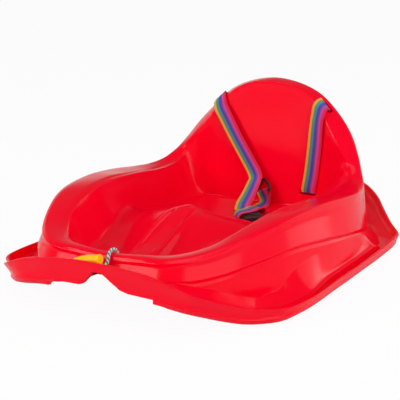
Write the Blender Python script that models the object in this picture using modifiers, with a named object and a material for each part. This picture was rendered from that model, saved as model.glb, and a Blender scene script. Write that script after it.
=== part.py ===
"""Red plastic baby sled with a woven harness and a tow cord.

Units are metres in the model and millimetres in the design lines below, which are drawn
for a sled of DESIGN size; UNIT turns a drawn place into metres at the driving sizes.
+Z is up, -Y is the bow (front), the origin is under the middle of the sled's box.
"""
import math

import bmesh
import bpy
import numpy as np
from mathutils import Vector

for old in list(bpy.data.objects):
    bpy.data.objects.remove(old, do_unlink=True)

MM = 0.001
GAP = 0.0003

# Driving sizes, in metres.
SLED_WIDTH = 0.490
SLED_LENGTH = 0.718
SLED_HEIGHT = 0.264
WEB_WIDTH = 0.025
WEB_THICK = 0.0014
BAR_DIAMETER = 0.0035
BAR_LENGTH = 0.038
SLOT_LONG = 0.030
SLOT_HIGH = 0.008
HIP_SLOT_LONG = 0.036
CORD_DIAMETER = 0.005
COIL_MIDDLE = 0.042
COIL_WIDE_TURNS = 3
COIL_HIGH_TURNS = 2
GRIP_DIAMETER = 0.014
GRIP_LENGTH = 0.046
KNOT_DIAMETER = 0.013
RING_WIRE = 0.0034
RING_BAR = 0.0046
BUCKLE_LENGTH = 0.058
BUCKLE_WIDTH = 0.028
BUCKLE_HEIGHT = 0.012
RIM_THICK = 4.0
CHINE_STEP = 2.0
CHINE_HEIGHT = 7.0
CHANNEL_FOOT_HALF = 39.0
CHANNEL_ROOF_HALF = 20.0
GROOVE_INNER = 52.0
GROOVE_OUTER = 66.0
GROOVE_DEPTH = 6.0
COVE_RUN = 22.0

DESIGN = np.array([490.0, 718.0, 264.0])
UNIT = np.array([SLED_WIDTH, SLED_LENGTH, SLED_HEIGHT]) / DESIGN

# Design lines of the right half, from the bow's middle round to the backrest's middle.
# Seventeen points each: 0 bow, 6 to 8 beside the armrest, 12 to 16 over the backrest.
LIP_INNER = [
    (0, -312, 82), (45, -309, 83), (90, -293, 86), (124, -254, 95),
    (145, -207, 110), (159, -142, 122), (170, -67, 123), (178, 3, 116),
    (179, 68, 111.5), (174, 113, 117), (160, 135, 134), (142, 141, 155),
    (121, 151, 182), (97, 160, 213.5), (72, 164, 240), (38, 165, 256), (0, 165, 260),
]
BROW = [
    (0, -305, 80), (43, -302, 80), (84, -287, 83), (116, -250, 92),
    (137, -205, 106), (150, -141, 118), (160, -69, 120), (160, 0, 118),
    (152, 63, 116), (149, 108, 120), (147, 135, 131.5), (133, 145, 151.5),
    (114, 152, 179), (91, 161, 209.5), (67, 165, 234), (35, 166, 250), (0, 166, 254),
]
SHOULDER = [
    (0, -325, 75), (50, -324, 78), (99, -318, 82), (141, -280, 88),
    (172, -222, 106), (193, -162, 118), (204, -85, 123), (210, -7, 119),
    (206, 58, 113), (193, 111, 113), (176, 143, 130), (161, 163, 154),
    (143, 178, 182.5), (117, 188, 212), (84, 191, 241), (44, 193, 257.5), (0, 193, 264),
]
WALL_BASE = [
    (0, -328, 66), (50, -328, 64), (103, -324, 60), (146, -283, 64),
    (177, -224, 73), (199, -161, 80), (211, -85, 75), (215, -7, 66),
    (210, 58, 56), (196, 123, 42), (177, 173, 30), (158, 205, 25),
    (135, 219, 24), (105, 223, 26), (72, 226, 28), (38, 228, 30), (0, 228, 30),
]
RIM_TOP = [
    (0, -359, 80), (50, -359, 78.5), (105, -358, 71), (156, -344, 53),
    (207, -283, 29), (243, -217, 26), (245, -85, 26), (245, -5, 26),
    (245, 65, 28), (245, 126, 33), (241, 147, 34), (212, 190, 39),
    (180, 241, 48), (150, 288, 57), (110, 330, 66), (58, 352, 74), (0, 359, 76),
]
GUTTER_Z = [69, 68, 60, 41, 14, 11, 12, 13, 14, 17, 19, 25, 33, 41, 50, 57, 59]
HULL_EDGE = [
    (0, -345, 31), (48, -344, 31), (99, -343, 30), (146, -330, 20),
    (199, -277, 4), (236, -214, 6.5), (240, -85, 8), (240, -5, 9),
    (240, 65, 10), (240, 126, 13), (235, 145, 14), (208, 184, 18),
    (176, 236, 26), (146, 283, 36), (108, 324, 45), (57, 345, 52), (0, 351, 54),
]
FOOT = [
    (0, -289, 47), (45, -285, 47), (82, -267, 47), (101, -232, 48),
    (108, -187, 50), (120, -132, 62), (138, -67, 74), (142, 3, 55),
    (139, 63, 53), (136, 105, 53), (130, 132, 53), (122, 148, 53),
    (117, 156, 53), (90, 157, 53), (62, 157, 53), (31, 157, 53), (0, 157, 53),
]
SEAT_MIDDLE_Y = [
    -289, -281, -262, -230, -192, -147, -102, -47, 3, 43, 73, 98, 115, 129, 140, 149, 157,
]
HULL_MIDDLE_Y = [
    -344, -338, -322, -292, -237, -167, -72, 3, 63, 113, 138, 168, 213, 263, 308, 338, 349,
]

# Height of the hull's bottom and of the tow channel's roof along the middle, (y, z).
KEEL = [(-345, 33), (-267, 10), (-197, 0), (125, 0), (180, 3), (228, 12), (290, 32), (351, 54)]
CHANNEL_ROOF = [(-240, 25), (-167, 16), (145, 16), (262, 30)]
# Open pocket under the bow, behind the skirt, and the notch in the skirt's middle.
POCKET_HALF = 83.0
POCKET = [
    (-380, -20), (-380, 35.5), (-339, 35.5), (-341, 61), (-322, 58), (-303, 46),
    (-289, 43.5), (-265, 36), (-215, 19), (-160, 0), (-150, -20),
]
POCKET_WIDE_HALF = 112.0
POCKET_WIDE = [
    (-312, -20), (-312, 27), (-289, 33), (-240, 20), (-185, 0), (-178, -20),
]
NOTCH = [(-46.7, 28), (46.7, 28), (6.5, 64), (-6.5, 64)]
# Knee hump across the seat: half width, crest height and crest position along y.
HUMP_CREST_Z = [(0, 105), (27, 97), (53, 89), (80, 82), (107, 78), (140, 75)]
HUMP_CREST_Y = [(0, -111), (30, -108), (60, -94), (80, -79), (107, -75), (140, -66)]
SEAT_PAN_Z = 52.0
WELL_Z = 47.0
HUMP_RUN = [(0, 150), (18, 150), (27, 124), (60, 100), (140, 96)]
RIB_TOP = [(-289, 57), (-244, 62.8), (-204, 70), (-162, 83), (-130, 99), (-110, 105)]
RIB_ACROSS = (0, 6, 11, 13, 15.4, 18)
RIB_FOOT = 15.4
RIB_SIDE = 4.4
RIB_GROOVE = 5.0


def curve_at(points, t):
    """A smooth curve through the points; t counts points from 0."""
    pts = np.asarray(points, float)
    last = len(pts) - 1
    t = min(max(t, 0.0), last - 1e-9)
    i = int(t)
    f = t - i
    mirror = np.array([-1.0, 1.0, 1.0])
    before = pts[i - 1] if i > 0 else pts[1] * mirror
    after = pts[i + 2] if i + 2 <= last else pts[last - 1] * mirror
    a, b = pts[i], pts[i + 1]
    return 0.5 * (
        2 * a
        + (b - before) * f
        + (2 * before - 5 * a + 4 * b - after) * f * f
        + (3 * a - before - 3 * b + after) * f ** 3
    )


def at_station(values, t):
    return float(np.interp(t, range(len(values)), values))


def along(table, value):
    xs, ys = zip(*table)
    return float(np.interp(value, xs, ys))


def smooth(value):
    value = min(max(value, 0.0), 1.0)
    return value * value * (3 - 2 * value)


def seat_height(x, y):
    """Top of the seat: pan, knee hump, leg wells and the rib between them."""
    x = abs(x)
    crest_y = along(HUMP_CREST_Y, x)
    crest_z = along(HUMP_CREST_Z, x)
    if y >= crest_y:
        pan = smooth(1 - (y - crest_y - 8) / 70)
        height = SEAT_PAN_Z + (crest_z - SEAT_PAN_Z) * pan
    else:
        run = smooth(1 - (crest_y - y - 6) / along(HUMP_RUN, x))
        height = WELL_Z + (crest_z - WELL_Z) * run
        side = smooth((RIB_FOOT - x) / RIB_SIDE) * smooth((y + 289) / 22)
        height = height * (1 - side) + along(RIB_TOP, y) * side
        fold = max(0, 1 - abs(x - RIB_FOOT) / 2.6)
        height -= RIB_GROOVE * fold * smooth((y + 222) / 20) * smooth((-y - 112) / 20)
    return height


def mix(a, b, f):
    return np.asarray(a) * (1 - f) + np.asarray(b) * f


def section(t):
    """One closed section of the half hull, from the seat's middle to the keel's middle."""
    lip = curve_at(LIP_INNER, t)
    brow = curve_at(BROW, t)
    shoulder = curve_at(SHOULDER, t)
    base = curve_at(WALL_BASE, t)
    rim = curve_at(RIM_TOP, t)
    edge = curve_at(HULL_EDGE, t)
    foot = curve_at(FOOT, t)
    gutter = at_station(GUTTER_Z, t)
    middle = np.array([0.0, at_station(SEAT_MIDDLE_Y, t), 0.0])
    keel = np.array([0.0, at_station(HULL_MIDDLE_Y, t), 0.0])
    points = []
    fractions = [min(x / max(foot[0], 1), 0.07 * i) for i, x in enumerate(RIB_ACROSS)]
    fractions += [fractions[-1] + (0.84 - fractions[-1]) * part for part in (0.25, 0.5, 0.75, 1)]
    for f in fractions:
        p = mix(middle, foot, f)
        blend = smooth((f - 0.5) / 0.5)
        p[2] = seat_height(p[0], p[1]) * (1 - blend) + foot[2] * blend
        points.append(p)
    inward = points[-1]
    wall = mix(foot, brow, 0.14)
    points += [mix(foot, inward, 0.12), mix(foot, mix(inward, wall, 0.5), 0.3) + [0, 0, 0.6]]
    points += [mix(foot, brow, f) for f in (0.07, 0.35, 0.75)]
    points += [mix(brow, mix(foot, brow, 0.9), 0.6), mix(brow, lip, 0.12)]
    points += [mix(brow, lip, 0.5) - [0, 0, dish_depth(t) * 0.8], mix(brow, lip, 0.88)]
    step = shoulder - lip
    crown = 1.5 * smooth(np.hypot(step[0], step[1]) / 30)
    ledge = mix(lip, shoulder, 0.68)
    ledge[2] = lip[2] * 0.85 + shoulder[2] * 0.15 + crown * 0.6
    if lip[2] - shoulder[2] < 0.5:
        ledge[2] = mix(lip, shoulder, 0.68)[2] + crown
    points += [lip, mix(lip, ledge, 0.5) + [0, 0, crown * 0.6], ledge]
    points += [mix(ledge, shoulder, 0.35) - [0, 0, max(lip[2] - shoulder[2], 0) * 0.22]]
    points += [mix(ledge, shoulder, 0.82) + [0, 0, 0.2]]
    points += [mix(shoulder, base, 0.015), mix(shoulder, base, 0.05)]
    points += [mix(shoulder, base, f) for f in (0.35, 0.7, 0.95)]
    inner = mix(rim, base, 0.0)
    away = base - rim
    away[2] = 0
    reach = np.linalg.norm(away)
    inner = rim + away / reach * RIM_THICK
    toe = rim + away / reach * (RIM_THICK + 2.5)
    toe[2] = gutter + 1.0
    wide = np.linalg.norm((toe - base)[:2])
    rear = smooth((t - 9.5) / 1.5)
    cove = min(0.85, COVE_RUN / wide) * (1 - rear) + 0.72 * rear
    for f in (0.12, 0.34, 0.64, 1):
        p = mix(base, toe, cove * f)
        p[2] = gutter + (base[2] - gutter) * (1 - f) ** (1.35 + 0.55 * rear)
        points.append(p)
    points += [mix(base, toe, 0.95) * [1, 1, 0] + [0, 0, gutter]]
    points += [toe + (inner - toe) * [0.45, 0.45, 0] + [0, 0, 1.6]]
    points += [inner * [1, 1, 0] + [0, 0, rim[2] - 1.6]]
    points += [mix(inner, rim, 0.3), mix(inner, rim, 0.75)]
    points += [rim - [0, 0, 1.3]]
    low = mix(rim, edge, 1.0)
    tall = rim[2] - edge[2]
    over = 1 - CHINE_HEIGHT / tall
    chine = mix(rim, low, over)
    out = -away / reach
    points += [chine + out * CHINE_STEP * 0.6, chine - [0, 0, 1.2] - out * CHINE_STEP * 0.4]
    points += [low + [0, 0, 1.5], mix(low, keel, 4 / max(np.linalg.norm((low - keel)[:2]), 8))
               * [1, 1, 0] + [0, 0, max(low[2] - 2.2, 0.5)]]
    for f in (0.16, 0.35, 0.6, 0.82, 1.0):
        p = mix(low, keel, f)
        settle = smooth(f / 0.16)
        p[2] = (low[2] - 2.2) * (1 - settle) + along(KEEL, p[1]) * settle
        points.append(p)
    return points


def dish_depth(t):
    """The armrests are slightly hollow between their two edges."""
    return 5.0 * smooth((t - 5.2) / 1.4) * smooth((10.2 - t) / 1.2)


def collection(name, hidden=False):
    made = bpy.data.collections.new(name)
    bpy.context.scene.collection.children.link(made)
    made.hide_render = hidden
    return made


PARTS = collection("baby_sled")
CUTTERS = collection("cutters", hidden=True)


def material(name, colour, roughness, metallic=0.0):
    made = bpy.data.materials.new(name)
    made.use_nodes = True
    shader = made.node_tree.nodes["Principled BSDF"]
    shader.inputs["Base Color"].default_value = (*colour, 1)
    shader.inputs["Roughness"].default_value = roughness
    shader.inputs["Metallic"].default_value = metallic
    made.diffuse_color = (*colour, 1)
    return made


def put(obj, where, mat=None):
    for home in list(obj.users_collection):
        home.objects.unlink(obj)
    where.objects.link(obj)
    if mat:
        obj.data.materials.append(mat)
    if where is CUTTERS:
        obj.display_type = "WIRE"
        obj.hide_render = True
    return obj


def mesh_object(name, verts, faces, where, mat=None):
    mesh = bpy.data.meshes.new(name)
    mesh.from_pydata([tuple(float(c) for c in v) for v in verts], [], faces)
    bm = bmesh.new()
    bm.from_mesh(mesh)
    bmesh.ops.remove_doubles(bm, verts=bm.verts, dist=2e-6)
    bmesh.ops.dissolve_degenerate(bm, edges=bm.edges, dist=1e-6)
    bmesh.ops.recalc_face_normals(bm, faces=bm.faces)
    bm.to_mesh(mesh)
    bm.free()
    return put(bpy.data.objects.new(name, mesh), where, mat)


def loft(name, rings, where, mat=None):
    """A closed solid through rings of the same number of points."""
    count = len(rings[0])
    verts = [p for ring in rings for p in ring]
    faces = []
    for i in range(len(rings) - 1):
        for j in range(count):
            k = (j + 1) % count
            a, b = i * count, (i + 1) * count
            faces.append((a + j, a + k, b + k, b + j))
    faces.append(tuple(range(count)))
    faces.append(tuple((len(rings) - 1) * count + j for j in range(count)))
    return mesh_object(name, verts, faces, where, mat)


def curve_through(points, parts_of):
    """Points on a smooth curve through the points; parts_of(length) parts for each stretch."""
    pts = [np.asarray(p, float) for p in points]
    ends = [2 * pts[0] - pts[1]] + pts + [2 * pts[-1] - pts[-2]]
    dense = []
    for i in range(1, len(ends) - 2):
        a, b, c, d = ends[i - 1:i + 3]
        parts = parts_of(np.linalg.norm((c - b)[:3]))
        for f in np.linspace(0, 1, parts, endpoint=False):
            dense.append(0.5 * (2 * b + (c - a) * f + (2 * a - 5 * b + 4 * c - d) * f * f
                                + (3 * b - a - 3 * c + d) * f ** 3))
    dense.append(pts[-1])
    return np.array(dense)


def smooth_path(points, count):
    """Evenly spaced points on a smooth curve through the points."""
    dense = curve_through(points, lambda length: 24)
    steps = np.linalg.norm(np.diff(dense[:, :3], axis=0), axis=1)
    run = np.concatenate([[0], np.cumsum(steps)])
    want = np.linspace(0, run[-1], count)
    return np.array([[np.interp(w, run, dense[:, k]) for k in range(dense.shape[1])] for w in want])


def ribbon(name, points, mat):
    """Webbing through points of (x, y, z, wx, wy, wz): place and width direction."""
    path = curve_through(points, lambda length: max(2, math.ceil(length / 7)))
    count = len(path)
    rings = []
    for i, p in enumerate(path):
        ahead = path[min(i + 1, count - 1)][:3] - path[max(i - 1, 0)][:3]
        ahead = ahead / np.linalg.norm(ahead)
        wide = p[3:] - ahead * np.dot(p[3:], ahead)
        wide = wide / np.linalg.norm(wide)
        up = np.cross(ahead, wide)
        w = wide * WEB_WIDTH / 2
        u = up * WEB_THICK / 2
        q = p[:3] * UNIT
        rings.append([q - w - u, q + w - u, q + w + u, q - w + u])
    return loft(name, rings, PARTS, mat)


def tube(name, points, diameter, mat, count, resolution=2):
    path = smooth_path(points, count)
    data = bpy.data.curves.new(name, "CURVE")
    data.dimensions = "3D"
    data.bevel_depth = diameter / 2
    data.bevel_resolution = resolution
    data.use_fill_caps = True
    spline = data.splines.new("POLY")
    spline.points.add(count - 1)
    for point, p in zip(spline.points, path):
        point.co = (*(p[:3] * UNIT), 1)
    return put(bpy.data.objects.new(name, data), PARTS, mat)


def rod(name, centre, axis, length, diameter, mat):
    """A round bar with softened ends."""
    axis = Vector(axis).normalized()
    bpy.ops.mesh.primitive_cylinder_add(
        vertices=20, radius=diameter / 2, depth=length,
        location=np.array(centre) * UNIT, rotation=axis.to_track_quat("Z", "Y").to_euler(),
    )
    made = bpy.context.object
    made.name = name
    bevel = made.modifiers.new("ends", "BEVEL")
    bevel.width = diameter * 0.18
    bevel.segments = 2
    bevel.limit_method = "ANGLE"
    return put(made, PARTS, mat)


def oblong_cutter(name, centre, wide, ahead, long, high, depth_back, depth_front):
    """A slot with square ends: long along wide, running along ahead."""
    wide = np.asarray(wide, float) / np.linalg.norm(wide)
    ahead = np.asarray(ahead, float)
    ahead = ahead - wide * np.dot(ahead, wide)
    ahead = ahead / np.linalg.norm(ahead)
    up = np.cross(ahead, wide)
    rings = []
    for d in (-depth_front, depth_back):
        q = np.asarray(centre, float) * UNIT + ahead * d
        w, u = wide * long / 2, up * high / 2
        rings.append([q - w - u, q + w - u, q + w + u, q - w + u])
    return loft(name, rings, CUTTERS)


def cut(obj, cutter):
    made = obj.modifiers.new(cutter.name, "BOOLEAN")
    made.operation = "DIFFERENCE"
    made.solver = "EXACT"
    made.object = cutter


RED = material("red_plastic", (0.86, 0.01, 0.05), 0.25)
WEB = material("striped_webbing", (0.25, 0.22, 0.55), 0.9)
BLACK = material("black_plastic", (0.015, 0.015, 0.018), 0.35)
STEEL = material("bar_steel", (0.55, 0.56, 0.58), 0.35, 1.0)
CORD = material("tow_cord_fibre", (0.62, 0.74, 0.74), 0.9)
YELLOW = material("yellow_plastic", (0.95, 0.72, 0.04), 0.35)


def shell_stations():
    front = list(np.arange(0, 8.01, 0.4))
    corner = list(np.arange(8.25, 12.51, 0.25))
    back = list(np.arange(13.0, 16.01, 0.5))
    return front + corner + back


def build_shell():
    rings = [section(t) for t in shell_stations()]
    count = len(rings[0])
    verts = []
    for ring in rings:
        for p in ring:
            x = 0.0 if p[0] < 0.05 else p[0]
            verts.append(np.array([x, p[1], max(p[2], 0)]) * UNIT)
    faces = []
    for i in range(len(rings) - 1):
        for j in range(count - 1):
            a = i * count + j
            faces.append((a, a + 1, a + 1 + count, a + count))
    shell = mesh_object("sled_shell", verts, faces, PARTS, RED)
    mirror = shell.modifiers.new("both_sides", "MIRROR")
    mirror.use_axis = (True, False, False)
    mirror.merge_threshold = 0.0001
    return shell


def channel_cutter():
    rings = []
    for y, roof in CHANNEL_ROOF:
        foot = along(KEEL, y) - 8
        half = CHANNEL_FOOT_HALF
        top = CHANNEL_ROOF_HALF
        ring = [(-half, y, foot), (half, y, foot), (top, y, roof), (-top, y, roof)]
        rings.append([np.array(p) * UNIT for p in ring])
    return loft("tow_channel", rings, CUTTERS)


def pocket_cutter(name, outline, half):
    rings = [[np.array([x, y, z]) * UNIT for y, z in outline] for x in (-half, half)]
    return loft(name, rings, CUTTERS)


def notch_cutter():
    rings = [[np.array([x, y, z]) * UNIT for x, z in NOTCH] for y in (-385, -338.2)]
    return loft("bow_notch", rings, CUTTERS)


def groove_cutter(side):
    rings = []
    for y in (-190, -100, 0, 100, 170):
        z = along(KEEL, y)
        a, b = side * GROOVE_INNER, side * GROOVE_OUTER
        ring = [(a, y, z - 8), (b, y, z - 8), (b - side * 3, y, z + GROOVE_DEPTH),
                (a + side * 3, y, z + GROOVE_DEPTH)]
        rings.append([np.array(p) * UNIT for p in ring])
    return loft("runner_groove", rings, CUTTERS)


# The slots: middle of the mouth, direction of the long side, direction through.
SHOULDER_SLOT = (97, 174, 225.8)
SHOULDER_WIDE = (-0.735, 0.0, 0.675)
SHOULDER_THROUGH = (-0.45, 0.75, -0.49)
HIP_SLOT = (77, 158, 78)
HIP_WIDE = (1, -0.115, 0)
HIP_THROUGH = (0, 1, 0)


def flip(v, side):
    return (v[0] * side, v[1], v[2])


shell = build_shell()
cut(shell, channel_cutter())
cut(shell, pocket_cutter("bow_pocket", POCKET, POCKET_HALF))
cut(shell, pocket_cutter("bow_pocket_wide", POCKET_WIDE, POCKET_WIDE_HALF))
cut(shell, notch_cutter())
for side in (-1, 1):
    cut(shell, groove_cutter(side))
for side, label in ((-1, "left"), (1, "right")):
    cut(shell, oblong_cutter("shoulder_slot_" + label, flip(SHOULDER_SLOT, side),
                             flip(SHOULDER_WIDE, side), flip(SHOULDER_THROUGH, side),
                             SLOT_LONG, SLOT_HIGH, 0.060, 0.020))
cut(shell, oblong_cutter("hip_slot", HIP_SLOT, HIP_WIDE, HIP_THROUGH,
                         HIP_SLOT_LONG, SLOT_HIGH, 0.080, 0.020))


def frame_of(through, wide):
    """Unit vectors of a slot: through, long side, and the short side."""
    t = np.asarray(wide, float) / np.linalg.norm(wide)
    d = np.asarray(through, float)
    d = d - t * np.dot(d, t)
    d = d / np.linalg.norm(d)
    return d, t, np.cross(d, t)


def slot_path(origin, through, wide, width_sign, lip_side, exit_at, bar_at):
    """The webbing's loop round its bar behind a slot, then back to the slot's mouth.

    Each point is (distance through, offset across); the offset keeps two layers apart."""
    d, t, up = frame_of(through, wide)
    up = up * lip_side
    r = BAR_DIAMETER / MM / 2 + 0.3 + WEB_THICK / MM / 2 + 0.15
    layer = WEB_THICK / MM / 2 + 0.35
    spread = exit_at - 3
    flat = [(exit_at - 16, -layer), (exit_at - 9, -layer), (spread, -layer - 0.4)]
    for degrees in (-78, -45, 0, 45, 78):
        turn = math.radians(degrees)
        flat.append((bar_at + r * math.cos(turn), r * math.sin(turn)))
    flat += [(spread, layer + 0.4), (exit_at - 9, layer), (3.5, layer)]
    c = np.asarray(origin, float)
    return [tuple(c + d * s + up * v) + tuple(t * width_sign) for s, v in flat]


def build_bar(name, origin, through, wide, bar_at):
    """The keeper bar lies along the slot, across its rear mouth."""
    d, t, up = frame_of(through, wide)
    centre = np.asarray(origin, float) + d * bar_at
    return rod(name, centre, t, BAR_LENGTH, BAR_DIAMETER, STEEL)


# How far through each slot the rear wall is, how far behind it the bar's near side lies,
# and so where the bar's middle is. The shoulder wall slopes, so its bar has more room.
SHOULDER_EXIT = 27.5
SHOULDER_BAR_ROOM = 2.75
SHOULDER_BAR = SHOULDER_EXIT + BAR_DIAMETER / MM / 2 + SHOULDER_BAR_ROOM
HIP_EXIT = 59.0
HIP_BAR_ROOM = 0.35
HIP_BAR = HIP_EXIT + BAR_DIAMETER / MM / 2 + HIP_BAR_ROOM

# Webbing over the flange and down the backrest, (x, y, z, width direction).
OVER_LIP = [
    (98.1, 170.2, 227.9, -0.72, 0.08, 0.69), (95.6, 165.2, 227.4, -0.74, 0.06, 0.67),
    (93.2, 159.0, 222.6, -0.83, 0.04, 0.56),
]
RIGHT_DOWN = [
    (90.6, 156.0, 208, -0.96, 0.18, 0.3), (89.5, 154.8, 196, -0.98, 0.18, 0.1),
    (88.5, 154.8, 182, -1, 0.1, 0), (86.5, 155.4, 155, -1, 0.03, 0), (82, 155.8, 112, -1, 0, 0),
    (78.6, 155.4, 90, -1, 0, 0), (77.2, 156.8, 81, -1, 0, 0),
]
LEFT_DOWN = [
    (-89.5, 155.8, 211, 0.94, 0.18, 0.34), (-81, 153.8, 198, 0.88, 0.1, 0.46),
    (-60, 152.5, 163.5, 0.86, 0, 0.5), (-38, 149.3, 132.5, 0.88, 0, 0.48),
    (-22, 147, 110, 0.93, 0, 0.3), (-14.6, 142, 98.6, 0.98, 0, 0.2),
    (-12.5, 132, 91, 1, 0.05, 0.1), (-8.5, 106, 77, 1, 0.1, 0), (-7, 86, 66, 0.93, 0.36, 0),
    (-2.5, 72, 61, 0.8, 0.6, 0),
]

BUCKLE_CENTRE = np.array([25.7, 41.6, 58.4])
BUCKLE_ALONG = np.array([0.72, -0.694, 0])
BUCKLE_ACROSS = np.array([0.694, 0.72, 0])
SOCKET_BAR_AT = -27.3
RING_CENTRE = np.array([-1.0, 146.2, 73.5])
RING_BAR_DIRECTION = np.array([0.857, -0.24, 0.457])
RING_RISE = np.array([-6.8, 10.5, 18.5])
RING_HALF_BAR = 15.8


def buckle_point(along_axis, across, up):
    return BUCKLE_CENTRE + BUCKLE_ALONG * along_axis + BUCKLE_ACROSS * across + [0, 0, up]


def socket_loop():
    """Left webbing over the socket's end bar, down its slot and back under itself."""
    r = 2.2 + 0.35 + WEB_THICK / MM / 2
    flat = [(-36, 1.8), (-31, 3.1)]
    for degrees in (100, 60, 20, -20, -60):
        turn = math.radians(degrees)
        flat.append((SOCKET_BAR_AT + r * math.cos(turn), r * math.sin(turn)))
    flat += [(-30.2, -2.8), (-34, -2.0), (-39, -1.8)]
    return [tuple(buckle_point(a, 0, z)) + tuple(BUCKLE_ACROSS) for a, z in flat]


left_top = slot_path(flip(SHOULDER_SLOT, -1), flip(SHOULDER_THROUGH, -1), flip(SHOULDER_WIDE, -1),
                     1, 1, SHOULDER_EXIT, SHOULDER_BAR)
right_top = slot_path(SHOULDER_SLOT, SHOULDER_THROUGH, SHOULDER_WIDE,
                      1, -1, SHOULDER_EXIT, SHOULDER_BAR)
right_low = slot_path(HIP_SLOT, HIP_THROUGH, HIP_WIDE, -1, -1, HIP_EXIT, HIP_BAR)
left_lip = [(-x, y, z, -wx, wy, wz) for x, y, z, wx, wy, wz in OVER_LIP]
ribbon("shoulder_strap_left", left_top + left_lip + LEFT_DOWN + socket_loop(), WEB)
ribbon("shoulder_strap_right", right_top + OVER_LIP + RIGHT_DOWN + right_low[::-1], WEB)

for label, side in (("left", -1), ("right", 1)):
    build_bar("shoulder_bar_" + label, flip(SHOULDER_SLOT, side), flip(SHOULDER_THROUGH, side),
              flip(SHOULDER_WIDE, side), SHOULDER_BAR)
build_bar("hip_bar_right", HIP_SLOT, HIP_THROUGH, HIP_WIDE, HIP_BAR)


def build_ring():
    """Rounded triangle of wire whose foot is a thicker bar for the webbing."""
    e1 = RING_BAR_DIRECTION / np.linalg.norm(RING_BAR_DIRECTION)
    rise = RING_RISE - e1 * np.dot(RING_RISE, e1)
    height = np.linalg.norm(rise)
    e2 = rise / height
    outline = []
    shoulder = RING_HALF_BAR - 0.8
    corners = [(-RING_HALF_BAR, 0, 1.0), (RING_HALF_BAR, 0, 1.0), (shoulder, 7, 2.5),
               (0, height, 4.0), (-shoulder, 7, 2.5)]
    for i, (x, y, r) in enumerate(corners):
        here = np.array([x, y])
        before = np.array(corners[i - 1][:2])
        after = np.array(corners[(i + 1) % 5][:2])
        a = (before - here) / np.linalg.norm(before - here)
        b = (after - here) / np.linalg.norm(after - here)
        for f in (0, 0.25, 0.5, 0.75, 1):
            outline.append(here + (a * (1 - f) ** 2 + b * f ** 2) * r * 1.6)
    data = bpy.data.curves.new("delta_ring", "CURVE")
    data.dimensions = "3D"
    data.bevel_depth = RING_WIRE / 2
    data.bevel_resolution = 2
    spline = data.splines.new("POLY")
    spline.points.add(len(outline) - 1)
    spline.use_cyclic_u = True
    for point, (x, y) in zip(spline.points, outline):
        p = (RING_CENTRE + e1 * x + e2 * y) * UNIT
        point.co = (*p, 1)
        if y < 0.1:
            point.radius = RING_BAR / RING_WIRE
    return put(bpy.data.objects.new("delta_ring", data), PARTS, BLACK)


build_ring()


def lap_strap_path():
    e1 = RING_BAR_DIRECTION / np.linalg.norm(RING_BAR_DIRECTION)
    g = np.array([0, 0, -1.0])
    g = g - e1 * np.dot(g, e1)
    g = g / np.linalg.norm(g)
    h = np.cross(e1, g)
    r = RING_BAR / MM / 2 + 0.35 + WEB_THICK / MM / 2
    flat = [(12.5, 1.4), (7, 2.2)]
    for degrees in (80, 40, 0, -40, -80):
        turn = math.radians(degrees)
        flat.append((-r * math.cos(turn), r * math.sin(turn)))
    flat += [(7, -2.0), (12, -1.5)]
    path = [tuple(RING_CENTRE + g * s + h * v) + tuple(e1) for s, v in flat]
    path += [
        (4.5, 140, 57, 0.95, -0.2, 0.2), (4, 132, 53.8, 1, 0, 0), (6, 114, 53.4, 1, 0.1, 0),
        (14, 97, 54, 0.95, 0.3, 0), (21.5, 84, 58.2, 0.95, 0.3, 0), (24.2, 74, 64.4, 0.97, 0.1, 0),
        (24.8, 64, 66.7, 0.97, 0, 0), (24.2, 50, 66.3, 0.9, -0.25, 0),
        (22, 38, 66.2, 0.8, -0.5, 0), (17.2, 28.6, 65.9, 0.75, -0.65, 0),
        (13.6, 24.0, 62.5, 0.72, -0.69, 0), (13.0, 23.2, 58.6, 0.72, -0.69, 0),
    ]
    return path


ribbon("lap_strap", lap_strap_path(), WEB)


def box(name, low, high, where, mat=None):
    """A box in the buckle's own frame: along, across and up, in millimetres."""
    verts = []
    for a in (low[0], high[0]):
        for b in (low[1], high[1]):
            for c in (low[2], high[2]):
                verts.append(buckle_point(a, b, c) * UNIT)
    faces = [(0, 1, 3, 2), (4, 6, 7, 5), (0, 4, 5, 1), (2, 3, 7, 6), (0, 2, 6, 4), (1, 5, 7, 3)]
    return mesh_object(name, verts, faces, where, mat)


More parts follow.
